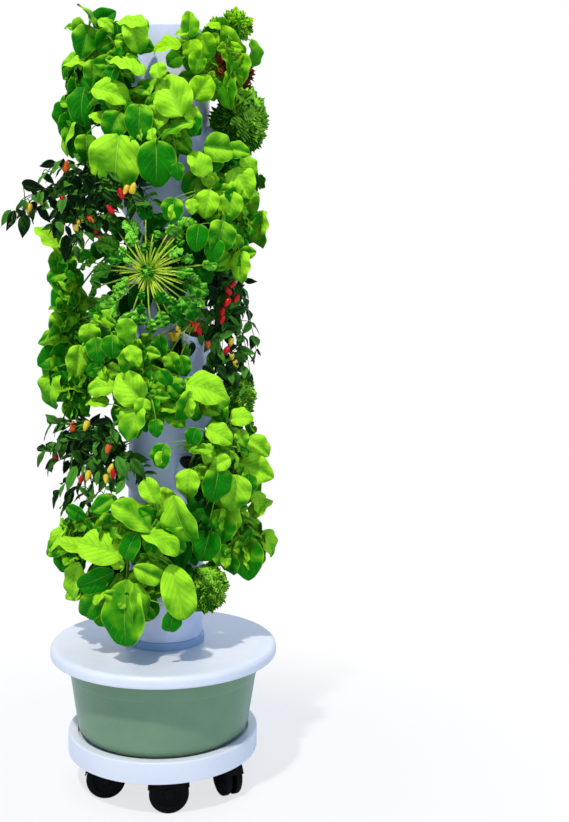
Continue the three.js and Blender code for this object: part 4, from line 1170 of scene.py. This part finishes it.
def grow_curls(growth, centre, half, count, size, root, outwards, look):
    """A dense head of curled fronds over a rounded heart."""
    draw = growth.draw
    growth.tube(bowed(root, centre, UP * 0.01), (0.006, 0.004), STALK)
    for index in range(count):
        height = 1 - 2 * (index + 0.5) / count
        flat = math.sqrt(max(1 - height * height, 0))
        angle = index * GOLDEN_ANGLE
        way = Vector((flat * math.cos(angle), flat * math.sin(angle), height))
        if way.dot(outwards) < -0.6:
            continue
        outer = draw.uniform(0.72, 1.0)
        place = centre + Vector((way.x * half[0], way.y * half[0], way.z * half[1])) * outer
        loose = loose_way(draw, 0.7)
        ahead = (way * 0.4 + (loose - way * loose.dot(way)).normalized() * 0.85).normalized()
        length = size * draw.uniform(0.75, 1.25)
        base = place - ahead * length * 0.5
        # Painted shade darkens the inner fronds, and painted light makes the fronds that face LIT_WAY paler
        tone = (1.0 - outer) * 3.2 + draw.uniform(0.06, 0.5) - 0.5 * way.dot(LIT_WAY)
        tone = min(max(tone, 1 - DARKEST), DARKEST)
        growth.leaf("kale", base, ahead, way + loose * 0.4, length, look, tone)
        if index % 3 == 0:
            growth.tube(bowed(centre, base, UP * 0.004, 3), (0.0018, 0.0012), STALK, sides=4)


STALKS = {"basil": 0.0024, "lettuce": 0.0026, "kale": 0.003, "pepper": 0.0017, "rosette": 0.0024}
# The length of a twig's leaves, and how far the laid leaves and the fruit stand out of a plant's reach
TWIG_LEAF, LAID_LIFT, FRUIT_LIFT = 0.046, 0.015, 0.012
# How deep behind a plant's reach its shaded leaves are
BACK_DEPTH = 0.03
# Half the width of a plant on the far side, and its fruit
FAR_HALF, FAR_FRUIT = 0.085, 9


def started(level, port, kind):
    """A plant's pot and its first stalk, up to the crown, with the places that the rest starts from."""
    growth = Growth(level * 10 + port)
    mouth, axis, facing = pod_axis(level, port)
    crown = mouth + axis * CROWN_LIFT
    net_pot(growth, level, port)
    thick = STALKS[kind]
    path = [mouth - axis * 0.006, mouth + axis * CROWN_LIFT * 0.5, crown]
    growth.tube(path, (thick * 2.2, thick * 1.6), STALK)
    growth.twigs = [crown]
    return growth, mouth, axis, facing, crown


def grow(level, port, facts):
    """A plant that the photograph shows."""
    kind, reach = facts["kind"], facts["reach"]
    form, thick = facts.get("form", kind), STALKS[kind]
    growth, mouth, axis, _, crown = started(level, port, kind)
    draw = growth.draw

    def seen(u, v, radius):
        return sighted(u, v, radius, facts.get("nearness", 1.0), facts.get("least", 0.0))

    if "rosette" in facts:
        grow_rosette(growth, mouth, axis, facts["rosette"], reach)
    for u, v, half_u, half_v, count, size, look in facts.get("curls", ()):
        middle = seen(u, v, reach)
        metres = (EYE - middle).length / FOCAL_PIXELS
        half = (half_u * metres, half_v * metres)
        outwards = radial(middle)
        heart = middle - outwards * half[0] * 0.5
        grow_curls(growth, heart, half, count, size, crown, outwards, CURL_LOOKS[look])
    for u, v, size, radius in facts.get("shoots", ()):
        tip = seen(u, v, radius)
        ahead = radial(tip) * 0.75 + UP * 0.35 + (tip - crown).normalized() * 0.35 + loose_way(draw, 0.15)
        shoot(growth, form, tip, ahead, size, crown, thick)
    for u, v, radius in facts.get("twigs", ()):
        twig(growth, seen(u, v, radius), crown, TWIG_LEAF, thick)
    for row in facts.get("mass", ()):
        mass(growth, form, BLADE, row, reach, seen, thick)
    for row in facts.get("leaves", ()):
        laid_leaf(growth, form, BLADE, row, reach + LAID_LIFT, seen, thick, facts.get("shade", 0.0))
    for u, v, hue in facts.get("fruit", ()):
        fruit(growth, seen(u, v, reach + FRUIT_LIFT), draw.uniform(0.023, 0.029), FRUIT + hue)
    for row in facts.get("backs", ()):
        mass(growth, form, BACK_SHADE, row, reach - BACK_DEPTH, seen, thick)
    return growth


def grow_far(level, port, kind, count, size):
    """A plant that fills the box of its CAD solid."""
    growth, _, _, facing, crown = started(level, port, kind)
    draw, thick, aside = growth.draw, STALKS[kind], UP.cross(facing)
    if kind == "kale":
        grow_curls(growth, crown + facing * 0.04, (0.075, FAR_HALF), count, size, crown, facing, BLADE)
        return growth
    for x, y in spread(count, draw):
        tip = crown + (aside * x + UP * y) * FAR_HALF + facing * draw.uniform(0.045, 0.075)
        if kind == "pepper":
            twig(growth, tip, crown, size, thick)
        else:
            shoot(growth, "basil", tip, facing * 0.8 + UP * 0.35 + (tip - crown), size, crown, thick)
    if kind == "pepper":
        for index in range(FAR_FRUIT):
            place = crown + facing * 0.08 + aside * draw.uniform(-0.08, 0.08) + UP * draw.uniform(-0.08, 0.05)
            fruit(growth, place, draw.uniform(0.017, 0.023), FRUIT + index % 3)
    return growth


# Operators

# The lamps: place, power, size and colour
LAMPS = {
    "key_lamp": ((-0.8, -5.8, 10.0), 920, 0.5, (1.0, 0.95, 0.84)),
    "fill_lamp": ((3.0, -2.8, 2.2), 14, 2.6, (0.7, 0.85, 1.0)),
    "back_lamp": ((0.6, 3.4, 3.4), 26, 2.4, (0.85, 0.93, 1.0)),
}
LAMP_AIM = Vector((0, 0, 1.0))
FLOOR_HALF, FLOOR_DROP = 30, 0.0005
SENSOR = 36.0


class PLANTER_OT_stage(bpy.types.Operator):
    """Sets up the floor, the lamps, the world and the camera"""
    bl_idname = "planter.stage"
    bl_label = "Stage"

    def execute(self, context):
        scene = context.scene
        scene.view_settings.view_transform = "Standard"
        corners = [(-FLOOR_HALF, -FLOOR_HALF, 0), (FLOOR_HALF, -FLOOR_HALF, 0), (FLOOR_HALF, FLOOR_HALF, 0),
                   (-FLOOR_HALF, FLOOR_HALF, 0)]
        floor = new_object("floor", mesh_of("floor", corners, [(0, 1, 2, 3)]))
        floor.location.z = -FLOOR_DROP
        floor.data.materials.append(self.floor_material())
        self.world(scene)
        for name, (place, energy, size, colour) in LAMPS.items():
            light = bpy.data.lights.new(name, "AREA")
            light.energy, light.size, light.color = energy, size, colour
            lamp = new_object(name, light)
            lamp.location = place
            lamp.rotation_euler = (LAMP_AIM - Vector(place)).to_track_quat("-Z", "Y").to_euler()
        camera = bpy.data.cameras.new("camera")
        camera.sensor_fit = "VERTICAL"
        camera.sensor_height = SENSOR
        camera.lens = SENSOR * FOCAL_PIXELS / FRAME_HEIGHT
        view = new_object("camera", camera)
        view.matrix_world = Matrix((EYE_RIGHT, EYE_UP, -EYE_FORWARD)).transposed().to_4x4()
        view.location = EYE
        scene.camera = view
        return {"FINISHED"}

    def floor_material(self):
        """Pale floor that runs into the white surroundings and keeps the tower's shadow."""
        material = bpy.data.materials.new("pale_floor")
        material.use_nodes = True
        tree = material.node_tree
        tree.nodes.clear()
        output = tree.nodes.new("ShaderNodeOutputMaterial")
        matt = node(tree, "ShaderNodeBsdfDiffuse", {"Color": (0.86, 0.86, 0.88, 1)})
        glow = node(tree, "ShaderNodeEmission", {"Color": (1, 1, 1, 1), "Strength": 1.0})
        ray = node(tree, "ShaderNodeLightPath").outputs
        place = node(tree, "ShaderNodeTexCoord").outputs["Object"]
        distance = node(tree, "ShaderNodeVectorMath", {0: place}, operation="LENGTH").outputs["Value"]
        share = plus(tree, 0.72, times(tree, ramp(tree, distance, 0.5, 1.3), 0.28))
        factor = times(tree, ray["Is Camera Ray"], share)
        surface = node(tree, "ShaderNodeMixShader", {0: factor, 1: matt.outputs[0], 2: glow.outputs[0]})
        feed(tree, output.inputs["Surface"], surface.outputs[0])
        return material

    def world(self, scene):
        """White to the camera and in reflections, a plain pale light on the object."""
        world = bpy.data.worlds.new("studio")
        scene.world = world
        world.use_nodes = True
        tree = world.node_tree
        tree.nodes.clear()
        output = tree.nodes.new("ShaderNodeOutputWorld")
        seen = node(tree, "ShaderNodeBackground", {"Color": (1, 1, 1, 1), "Strength": 1.0})
        light = node(tree, "ShaderNodeBackground", {"Color": (0.46, 0.68, 1.0, 1), "Strength": 0.62})
        ray = node(tree, "ShaderNodeLightPath").outputs
        shiny = math_node(tree, "MAXIMUM", ray["Is Glossy Ray"], ray["Is Transmission Ray"])
        either = math_node(tree, "MAXIMUM", ray["Is Camera Ray"], shiny)
        surface = node(tree, "ShaderNodeMixShader", {0: either, 1: light.outputs[0], 2: seen.outputs[0]})
        feed(tree, output.inputs["Surface"], surface.outputs[0])


# Moulded pieces

# Roundings of moulded edges
FINE, EDGE, RIM, SOFT, FULL = 0.0005, 0.001, 0.0015, 0.002, 0.003
# How far a boss runs into what carries it, and a cutter past what it cuts
SINK, OVERRUN = 0.002, 0.01


def joint_named(name):
    return next(joint for joint in frame["joints"] if joint["name"] == name)


def cylinder(name, radius, low, high, sides):
    return lathe(name, [(0, low), (radius, low), (radius, high), (0, high)], sides)


def arc(radius, start, end, steps):
    angles = [start + (end - start) * k / steps for k in range(steps + 1)]
    return [(radius * math.cos(angle), radius * math.sin(angle)) for angle in angles]


def white_plastic():
    colours = bpy.context.scene.planter_colours
    return plastic("white_shell", tuple(colours.white), linear(206, 212, 232), 0.34, mottle=0.25, dust=0.05)


# The faces of a block, whose corners are counted by x, then y, then z
BLOCK_FACES = ((0, 1, 3, 2), (4, 6, 7, 5), (0, 4, 5, 1), (2, 3, 7, 6), (0, 2, 6, 4), (1, 5, 7, 3))
# The tray's deck, below the top of its ring, and the hub, ribs and sockets under it
CASTER_COUNT = 6
FIRST_CASTER = math.radians(-74)
DECK_TOP, DECK_BASE = 0.013, 0.017
RING_WIDTH, RING_ROUND = 0.026, 0.005
HUB_INNER, HUB_OUTER = 0.07, 0.074
RIB_DEPTH, RIB_HALF, RIB_START, RIB_MARGIN = 0.018, 0.002, 0.072, 0.003
SOCKET_RADIUS, SOCKET_LENGTH = 0.012, 0.022
STEM_BORE, STEM_BORE_BASE = 0.00665, 0.1
# A wheel's two sides, from the middle between the pair, and the radii of its hub, dish and rim
WHEEL_NEAR, WHEEL_FAR = 0.0066, 0.0246
WHEEL_BORE, WHEEL_HUB, DISH_INNER, DISH_OUTER, RIM_INNER = 0.004, 0.014, 0.017, 0.03, 0.034
SHOULDER_WIDTH, SHOULDER_DROP = 0.004, 0.005
DISH_DEPTH, HUB_DEPTH = 0.006, 0.002
# The hood round the wheels, the web between them, the boss and the stem, from the axle's middle
HOOD_INNER, HOOD_OUTER, HOOD_STEPS = 0.0529, 0.0559, 26
HOOD_START, HOOD_END = math.radians(20), math.radians(165)
WEB_OUTER, WEB_INNER, WEB_HALF, WEB_STEPS = 0.0545, 0.014, 0.006, 12
STEM_BACK = 0.015
BOSS_RADIUS, STEM_RADIUS = 0.01, 0.0055
BOSS_BASE, BOSS_TOP, STEM_TOP = 0.0535, 0.06417, 0.0862
AXLE_BORE, AXLE_HALF = 0.0045, 0.03
HOOD_BEVEL, HOOD_BEVEL_ANGLE = 0.0006, 50


class PLANTER_OT_dolly(bpy.types.Operator):
    """Builds the dolly tray and its six twin-wheel casters"""
    bl_idname = "planter.dolly"
    bl_label = "Dolly"

    def execute(self, context):
        self.tray(context.scene.planter_sizes)
        black = tuple(context.scene.planter_colours.black)
        hood = plastic("black_hood", black, linear(8, 8, 9), 0.5, mottle=0.5, dust=0.03, grain=0.12,
                       scale=900, gleam=0.08)
        tread = plastic("wheel_tread", black, linear(10, 10, 11), 0.62, mottle=0.6, dust=0.03, grain=0.2,
                        scale=500, gleam=0.08)
        for number in range(1, CASTER_COUNT + 1):
            self.caster(number, hood, tread)
        return {"FINISHED"}

    def tray(self, sizes):
        low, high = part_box("dolly_tray")
        deck, under = high.z - DECK_TOP, high.z - DECK_BASE
        radius, inner = sizes.tray_radius, sizes.tray_radius - sizes.tray_wall
        ring = radius - RING_WIDTH
        profile = rounded([
            (0, under, 0), (inner, under, FULL), (inner, low.z, EDGE), (radius, low.z, RIM),
            (radius, high.z, RING_ROUND), (ring, high.z, FULL), (ring, deck, SOFT), (0, deck, 0)], 5)
        foot, head = under - RIB_DEPTH, under + SINK
        hub = [(HUB_INNER, foot), (HUB_OUTER, foot), (HUB_OUTER, head), (HUB_INNER, head)]
        extras = [lathe("hub", hub, 48, closed=True)]
        bores = []
        for index in range(CASTER_COUNT):
            stem = joint_named(f"caster_{index + 1}_swivel")["pos_m"]
            place = Matrix.Translation((stem[0], stem[1], 0))
            extras.append(placed(cylinder("socket", SOCKET_RADIUS, under - SOCKET_LENGTH, head, 24), place))
            bores.append(placed(cylinder("bore", STEM_BORE, STEM_BORE_BASE, under, 16), place))
            corners = [(x, y, z) for x in (RIB_START, radius - RIB_MARGIN) for y in (-RIB_HALF, RIB_HALF)
                       for z in (foot, head)]
            rib = mesh_of("rib", corners, BLOCK_FACES)
            turn = FIRST_CASTER + (index + 0.5) * math.tau / CASTER_COUNT
            extras.append(placed(rib, Matrix.Rotation(turn, 4, "Z")))
        tray = combined(lathe("dolly_tray_shell", profile, 128), extras, "UNION")
        tray = combined(tray, bores, "DIFFERENCE")
        dress(new_object("dolly_tray_shell", smooth(tray)), ROOT, "white_plastic", "dolly_tray",
              material=white_plastic())

    def caster(self, number, hood, tread):
        stem = joint_named(f"caster_{number}_swivel")["pos_m"]
        roll = joint_named(f"caster_{number}_roll")
        centre, axle = Vector(roll["pos_m"]), Vector(roll["axis"]).normalized()
        side = axle.cross(UP)
        turn = Matrix((side, axle.cross(side), axle)).transposed().to_4x4()
        turn.translation = centre
        dress(new_object(f"caster_{number}_twin_wheels", smooth(placed(self.wheels(), turn))),
              f"wheels_{number}", "caster_plastic", f"caster_{number}_wheels", material=tread)
        trail = Vector((centre.x - stem[0], centre.y - stem[1], 0)).normalized()
        turn = Matrix((trail, UP.cross(trail), UP)).transposed().to_4x4()
        turn.translation = centre
        dress(new_object(f"caster_{number}_hood", smooth(placed(self.hood(), turn))),
              f"housing_{number}", "caster_plastic", f"caster_{number}_housing", material=hood)

    def wheels(self):
        """Both wheels and the hub between them, turned about the Z axis."""
        radius = bpy.context.scene.planter_sizes.wheel_radius
        half = rounded([
            (WHEEL_BORE, WHEEL_NEAR, 0), (radius - EDGE, WHEEL_NEAR, EDGE), (radius, WHEEL_NEAR + EDGE, EDGE),
            (radius, WHEEL_FAR - SHOULDER_WIDTH, SHOULDER_WIDTH), (radius - SHOULDER_DROP, WHEEL_FAR, FULL),
            (RIM_INNER, WHEEL_FAR, SOFT), (DISH_OUTER, WHEEL_FAR - SHOULDER_WIDTH, SOFT),
            (DISH_INNER, WHEEL_FAR - DISH_DEPTH, SOFT), (WHEEL_HUB, WHEEL_FAR - HUB_DEPTH, SOFT),
            (0, WHEEL_FAR - EDGE, 0)], 3)
        return outward(lathe("twin_wheels", [(r, -z) for r, z in half][::-1] + half, 48))

    def hood(self):
        """A hood over both wheels, the web between them, and the stem, with the axle's bore through it."""
        bows = zip(*(arc(radius, HOOD_START, HOOD_END, HOOD_STEPS) for radius in (HOOD_INNER, HOOD_OUTER)))
        points = [(x, y, z) for bow in bows for x, z in bow for y in (-WHEEL_FAR, WHEEL_FAR)]
        last = len(points) - 4
        faces = [(0, 1, 3, 2), (last, last + 2, last + 3, last + 1)]
        for a in range(0, last, 4):
            b = a + 4
            faces += [(a, b, b + 1, a + 1), (a + 2, a + 3, b + 3, b + 2), (a, a + 2, b + 2, b),
                      (a + 1, b + 1, b + 3, a + 3)]
        hood = outward(mesh_of("hood", points, faces))
        outline = arc(WEB_OUTER, HOOD_START, HOOD_END, HOOD_STEPS)
        outline += arc(WEB_INNER, HOOD_END, HOOD_START + math.tau, WEB_STEPS)
        count = len(outline)
        points = [(x, y, z) for y in (-WEB_HALF, WEB_HALF) for x, z in outline]
        faces = [tuple(range(count)), tuple(range(2 * count - 1, count - 1, -1))]
        faces += [(k, (k + 1) % count, count + (k + 1) % count, count + k) for k in range(count)]
        web = outward(mesh_of("web", points, faces))
        stem = lathe("stem", [(0, BOSS_BASE), (BOSS_RADIUS, BOSS_BASE), (BOSS_RADIUS, BOSS_TOP),
                              (STEM_RADIUS, BOSS_TOP), (STEM_RADIUS, STEM_TOP), (0, STEM_TOP)], 20)
        body = combined(hood, [web, placed(stem, Matrix.Translation((-STEM_BACK, 0, 0)))], "UNION")
        bore = cylinder("bore", AXLE_BORE, -AXLE_HALF, AXLE_HALF, 20)
        bore = placed(bore, Matrix.Rotation(math.pi / 2, 4, "X"))
        return bevelled(combined(body, [bore], "DIFFERENCE"), HOOD_BEVEL, HOOD_BEVEL_ANGLE)


# The tub's lip, the taper of its wall, the rounded knee at its foot and the step below its band
TUB_LIP, TUB_LIP_HEIGHT, TUB_TAPER = 0.01, 0.005, 0.033
KNEE_HEIGHT, KNEE_WIDTH, KNEE_STEPS = 0.036, 0.057, 12
BAND_DEPTH, BAND_STEP = 0.077, 0.002
# The lid's sheet, its hole for the collar, the lip inside its rim and the round under the rim
LID_SHEET, LID_BORE, LID_LIP = 0.004, 0.1046, 0.2814
LID_FOOT, LID_FOOT_START = 0.006, 0.3
PORT_RADIUS = 0.034
PLUG_SKIRT, PLUG_RADIUS = 0.012, 0.0325
FLANGE_RADIUS, FLANGE_HEIGHT = 0.041, 0.003
KNOB_FOOT, KNOB_HEAD = 0.013, 0.011


class PLANTER_OT_reservoir(bpy.types.Operator):
    """Builds the reservoir tub, its lid and the access port's plug"""
    bl_idname = "planter.reservoir"
    bl_label = "Reservoir"

    def execute(self, context):
        self.tub(context.scene.planter_sizes.tub_wall, tuple(context.scene.planter_colours.green))
        self.lid(context.scene.planter_sizes)
        self.plug()
        return {"FINISHED"}

    def tub(self, wall, colour):
        low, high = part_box("reservoir_tub")
        base, top = low.z, high.z
        rim = high.x - TUB_LIP
        knee_radius = rim - TUB_TAPER
        band = top - BAND_DEPTH
        slope = TUB_TAPER / (top - base - KNEE_HEIGHT)
        band_radius = knee_radius + (band - base - KNEE_HEIGHT) * slope
        knee = []
        for k in range(KNEE_STEPS + 1):
            s = k / KNEE_STEPS
            foot = (knee_radius - KNEE_WIDTH) * (1 - s) + (knee_radius - wall) * 2 * s
            knee.append((foot * (1 - s) + knee_radius * s * s, base + KNEE_HEIGHT * s * s))
        inside = []
        for radius, height in reversed(knee):
            share = (height - base) / KNEE_HEIGHT
            inside.append((radius - wall * share, height + wall * (1 - share)))
        outer = rounded([
            (knee_radius, base + KNEE_HEIGHT, 0), (band_radius - BAND_STEP, band - BAND_STEP, EDGE),
            (band_radius, band, EDGE), (rim, top - TUB_LIP_HEIGHT, RIM), (high.x, top - TUB_LIP_HEIGHT, EDGE),
            (high.x, top, EDGE), (rim - wall, top, EDGE), inside[0] + (0,)], 4)
        profile = [(0, base)] + knee[:-1] + outer + inside[1:] + [(0, base + wall)]
        green = plastic("green_shell", colour, linear(130, 158, 124), 0.3, mottle=0.4, dust=0.0, grain=0.02,
                        coat=0.05, gleam=0.15)
        dress(new_object("reservoir_tub_shell", smooth(outward(lathe("tub", profile, 160)))), ROOT,
              "green_plastic", "reservoir_tub", material=green)

    def lid(self, sizes):
        low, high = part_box("reservoir_lid")
        top, bottom, radius, roll = high.z, low.z, sizes.lid_radius, sizes.lid_roll
        under, centre, bend = top - LID_SHEET, radius - roll, roll - LID_SHEET
        quarter = math.pi / 2
        profile = [(LID_BORE, under), (centre - LID_SHEET, under)]
        profile += [(centre - LID_SHEET + bend * math.sin(a), top - roll + bend * math.cos(a))
                    for a in np.linspace(0, quarter, 8)]
        profile += [(radius - 2 * LID_SHEET, bottom + LID_SHEET), (LID_LIP, bottom + LID_SHEET),
                    (LID_LIP, bottom), (radius - LID_FOOT, bottom)]
        profile += [(radius - LID_FOOT + LID_FOOT * math.sin(a), bottom + LID_FOOT - LID_FOOT * math.cos(a))
                    for a in np.linspace(LID_FOOT_START, quarter, 5)]
        profile += [(centre + roll * math.cos(a), top - roll + roll * math.sin(a))
                    for a in np.linspace(0, quarter, 12)]
        profile.append((LID_BORE, top))
        port = placed(cylinder("port", PORT_RADIUS, under - OVERRUN, top + OVERRUN, 64), self.port_place())
        lid = combined(lathe("lid", profile, 160, closed=True), [port], "DIFFERENCE")
        dress(new_object("reservoir_lid_shell", smooth(lid)), ROOT, "white_plastic", "reservoir_lid",
              material=white_plastic())

    def port_place(self):
        low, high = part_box("access_port_plug")
        return Matrix.Translation(((low.x + high.x) / 2, (low.y + high.y) / 2, 0))

    def plug(self):
        low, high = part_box("access_port_plug")
        base, top = low.z, high.z
        seat = base + PLUG_SKIRT
        profile = rounded([
            (0, base, 0), (PLUG_RADIUS, base, FINE), (PLUG_RADIUS, seat, FINE), (FLANGE_RADIUS, seat, FINE),
            (FLANGE_RADIUS, seat + FLANGE_HEIGHT, RIM), (KNOB_FOOT, seat + FLANGE_HEIGHT, SOFT),
            (KNOB_HEAD, top, FULL), (0, top, 0)], 4)
        plug = placed(outward(lathe("plug", profile, 64)), self.port_place())
        dress(new_object("port_plug_shell", smooth(plug)), "plug", "white_plastic", "access_port_plug",
              material=white_plastic())


# The collar's foot in the lid, its flange on the lid and the socket that the column stands in
COLLAR_BORE, COLLAR_FOOT, COLLAR_FLANGE, COLLAR_SOCKET = 0.098, 0.103, 0.108, 0.1025
COLLAR_SEAT, COLLAR_FLOOR, COLLAR_EDGE = 0.0073, 0.003, 0.0004
# A section's spigot, its bore at the top, and the roundings of its shoulders and of the cap
SPIGOT_RADIUS, SPIGOT_BORE, SPIGOT_DEPTH = 0.0961, 0.0931, 0.012
SECTION_BORE, SECTION_EDGE = 0.098, 0.0008
CAP_WALL, CAP_ROUND, CAP_HOLLOW_ROUND = 0.004, 0.006, 0.008
POD_LENGTH, POD_LIP, POD_BORE_LENGTH, POD_BORE_PAST = 0.096, 0.0012, 0.11, 0.0003


class PLANTER_OT_column(bpy.types.Operator):
    """Builds the collar, the nine growing sections with their pods, and the top cap"""
    bl_idname = "planter.column"
    bl_label = "Column"

    def execute(self, context):
        sizes = context.scene.planter_sizes
        self.collar(tuple(context.scene.planter_colours.collar))
        section = self.section(sizes)
        # Partly the column's own white, partly painted shade: the white is tinted lavender like the bluish shade
        # on it
        white = plastic("column_shade_tint_plastic", linear(222, 226, 248), linear(190, 202, 240), 0.36, mottle=0.5,
                        dust=0.1)
        section.materials.append(white)
        for level in range(1, LEVELS + 1):
            shell = new_object(f"growing_section_{level}_shell", section)
            shell.location.z = COLUMN_BASE + (level - 1) * sizes.section_pitch
            shell.rotation_euler.z = math.pi / 4 if level % 2 else 0
            dress(shell, ROOT, "white_plastic", f"growing_section_{level}")
        self.cap(sizes.column_radius, white)
        return {"FINISHED"}

    def collar(self, colour):
        low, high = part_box("column_collar")
        seat = low.z + COLLAR_SEAT
        step = seat + COLLAR_FLOOR
        collar = rounded([
            (COLLAR_BORE, low.z, 0), (COLLAR_FOOT, low.z, FINE), (COLLAR_FOOT, seat, 0),
            (COLLAR_FLANGE, seat, COLLAR_EDGE), (COLLAR_FLANGE, high.z, FULL),
            (COLLAR_SOCKET, high.z, COLLAR_EDGE), (COLLAR_SOCKET, step, 0), (COLLAR_BORE, step, 0)], 4)
        # Painted shade: the collar's colours are the white plastic darkened blue-grey as if shaded
        band = plastic("collar_shade_plastic", colour, linear(126, 154, 196), 0.36, mottle=0.4, dust=0.05)
        ring = outward(lathe("collar", collar, 128, closed=True))
        dress(new_object("column_collar_ring", smooth(ring)), ROOT, "white_plastic", "column_collar",
              material=band)

    def section(self, sizes):
        """One section of the column with four slanting pods, open from the mouth into the bore."""
        radius, height = sizes.column_radius, SECTION_HEIGHT
        outer = rounded([
            (0, -SPIGOT_DEPTH, 0), (SPIGOT_RADIUS, -SPIGOT_DEPTH, FINE), (SPIGOT_RADIUS, 0, 0),
            (radius, 0, SECTION_EDGE), (radius, height, SECTION_EDGE), (0, height, 0)], 3)
        pod = rounded([(0, -POD_LENGTH, 0), (sizes.pod_radius, -POD_LENGTH, 0),
                       (sizes.pod_radius, 0, POD_LIP), (0, 0, 0)], 3)
        flare = sizes.pod_bore + POD_LIP
        bore = rounded([(0, -POD_BORE_LENGTH, 0), (sizes.pod_bore, -POD_BORE_LENGTH, 0),
                        (sizes.pod_bore, -POD_LIP, 0), (flare, POD_BORE_PAST, 0), (flare, OVERRUN, 0),
                        (0, OVERRUN, 0)], 2)
        pods, bores = [], []
        for port in range(PORTS):
            place = pod_matrix(2, port)
            place.translation -= UP * (COLUMN_BASE + sizes.section_pitch)
            pods.append(placed(lathe("pod", pod, 64), place))
            bores.append(placed(lathe("bore", bore, 64), place))
        past = height + 2 * OVERRUN
        inner = lathe("inner", [(0, -3 * OVERRUN), (SPIGOT_BORE, -3 * OVERRUN), (SPIGOT_BORE, -SPIGOT_DEPTH),
                                (SECTION_BORE, height), (SECTION_BORE, past), (0, past)], 96)
        body = combined(lathe("section", outer, 128), pods, "UNION")
        return smooth(combined(body, [inner, *bores], "DIFFERENCE"), 30)

    def cap(self, radius, white):
        low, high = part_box("top_cap")
        base, top = low.z + SPIGOT_DEPTH, high.z
        cap = rounded([
            (0, top - CAP_WALL, 0), (SPIGOT_BORE, top - CAP_WALL, CAP_HOLLOW_ROUND),
            (SPIGOT_BORE, low.z, FINE), (SPIGOT_RADIUS, low.z, FINE), (SPIGOT_RADIUS, base, 0),
            (radius, base, SECTION_EDGE), (radius, top, CAP_ROUND), (0, top, 0)], 6)
        dress(new_object("top_cap_shell", smooth(outward(lathe("cap", cap, 128)))), "cap", "white_plastic",
              "top_cap", material=white)


class PLANTER_OT_waterworks(bpy.types.Operator):
    """Finishes the pump, the riser and the distributor, which keep their CAD shapes"""
    bl_idname = "planter.waterworks"
    bl_label = "Waterworks"

    def execute(self, context):
        pump = plastic("pump_shell", linear(38, 42, 48), linear(26, 28, 32), 0.48, mottle=0.5, dust=0.0,
                       grain=0.1)
        pipe = plastic("pale_pipe", linear(214, 218, 222), linear(190, 196, 204), 0.4, mottle=0.4, dust=0.0)
        for name, material in (("pump_housing", pump), ("pump_impeller", pump), ("riser_pipe", pipe),
                               ("distributor_disc", pipe)):
            piece = frame["nodes"][name]
            if not piece.material_slots:
                piece.data.materials.append(material)
            for slot in piece.material_slots:
                slot.material = material
        return {"FINISHED"}


class PLANTER_OT_plants(bpy.types.Operator):
    """Grows the plants out of their pods"""
    bl_idname = "planter.plants"
    bl_label = "Plants"

    def execute(self, context):
        for (level, port), facts in PLANTS.items():
            self.finish_plant(grow(level, port, facts), level, port, facts["kind"])
        for (level, port), (kind, count, size) in FAR_PLANTS.items():
            self.finish_plant(grow_far(level, port, kind, count, size), level, port, kind)
        return {"FINISHED"}

    def finish_plant(self, growth, level, port, kind):
        """Puts a grown plant in place of its CAD node."""
        name, solid = f"{kind}_{level}_{port + 1}", f"plant_{level}_{port + 1}"
        slot = next(entry["material_slot"] for entry in frame["record"]["subparts"] if entry["node"] == solid)
        dress(new_object(name, growth.mesh(name, plant_materials(kind))), ROOT, slot, solid)


class PLANTER_PT_panel(bpy.types.Panel):
    """Lists the tower's operators, sizes and colours"""
    bl_idname = "PLANTER_PT_panel"
    bl_label = "Planter Tower"
    bl_space_type = "VIEW_3D"
    bl_region_type = "UI"
    bl_category = "Planter"

    def draw(self, context):
        for operator in OPERATORS:
            self.layout.operator(operator.bl_idname)
        for group in (context.scene.planter_sizes, context.scene.planter_colours):
            for key in group.__annotations__:
                self.layout.prop(group, key)


OPERATORS = (PLANTER_OT_stage, PLANTER_OT_dolly, PLANTER_OT_reservoir, PLANTER_OT_column,
             PLANTER_OT_waterworks, PLANTER_OT_plants)
CLASSES = (TowerSizes, TowerColours, *OPERATORS, PLANTER_PT_panel)


def register():
    for one in CLASSES:
        bpy.utils.register_class(one)
    bpy.types.Scene.planter_sizes = bpy.props.PointerProperty(type=TowerSizes)
    bpy.types.Scene.planter_colours = bpy.props.PointerProperty(type=TowerColours)


def unregister():
    del bpy.types.Scene.planter_sizes
    del bpy.types.Scene.planter_colours
    for one in reversed(CLASSES):
        bpy.utils.unregister_class(one)


def main():
    register()
    tools = bpy.ops.planter
    for step in (tools.stage, tools.dolly, tools.reservoir, tools.column, tools.waterworks, tools.plants):
        if step() != {"FINISHED"}:
            raise RuntimeError(f"{step.idname_py()} didn't finish")


if __name__ == "__main__":
    main()
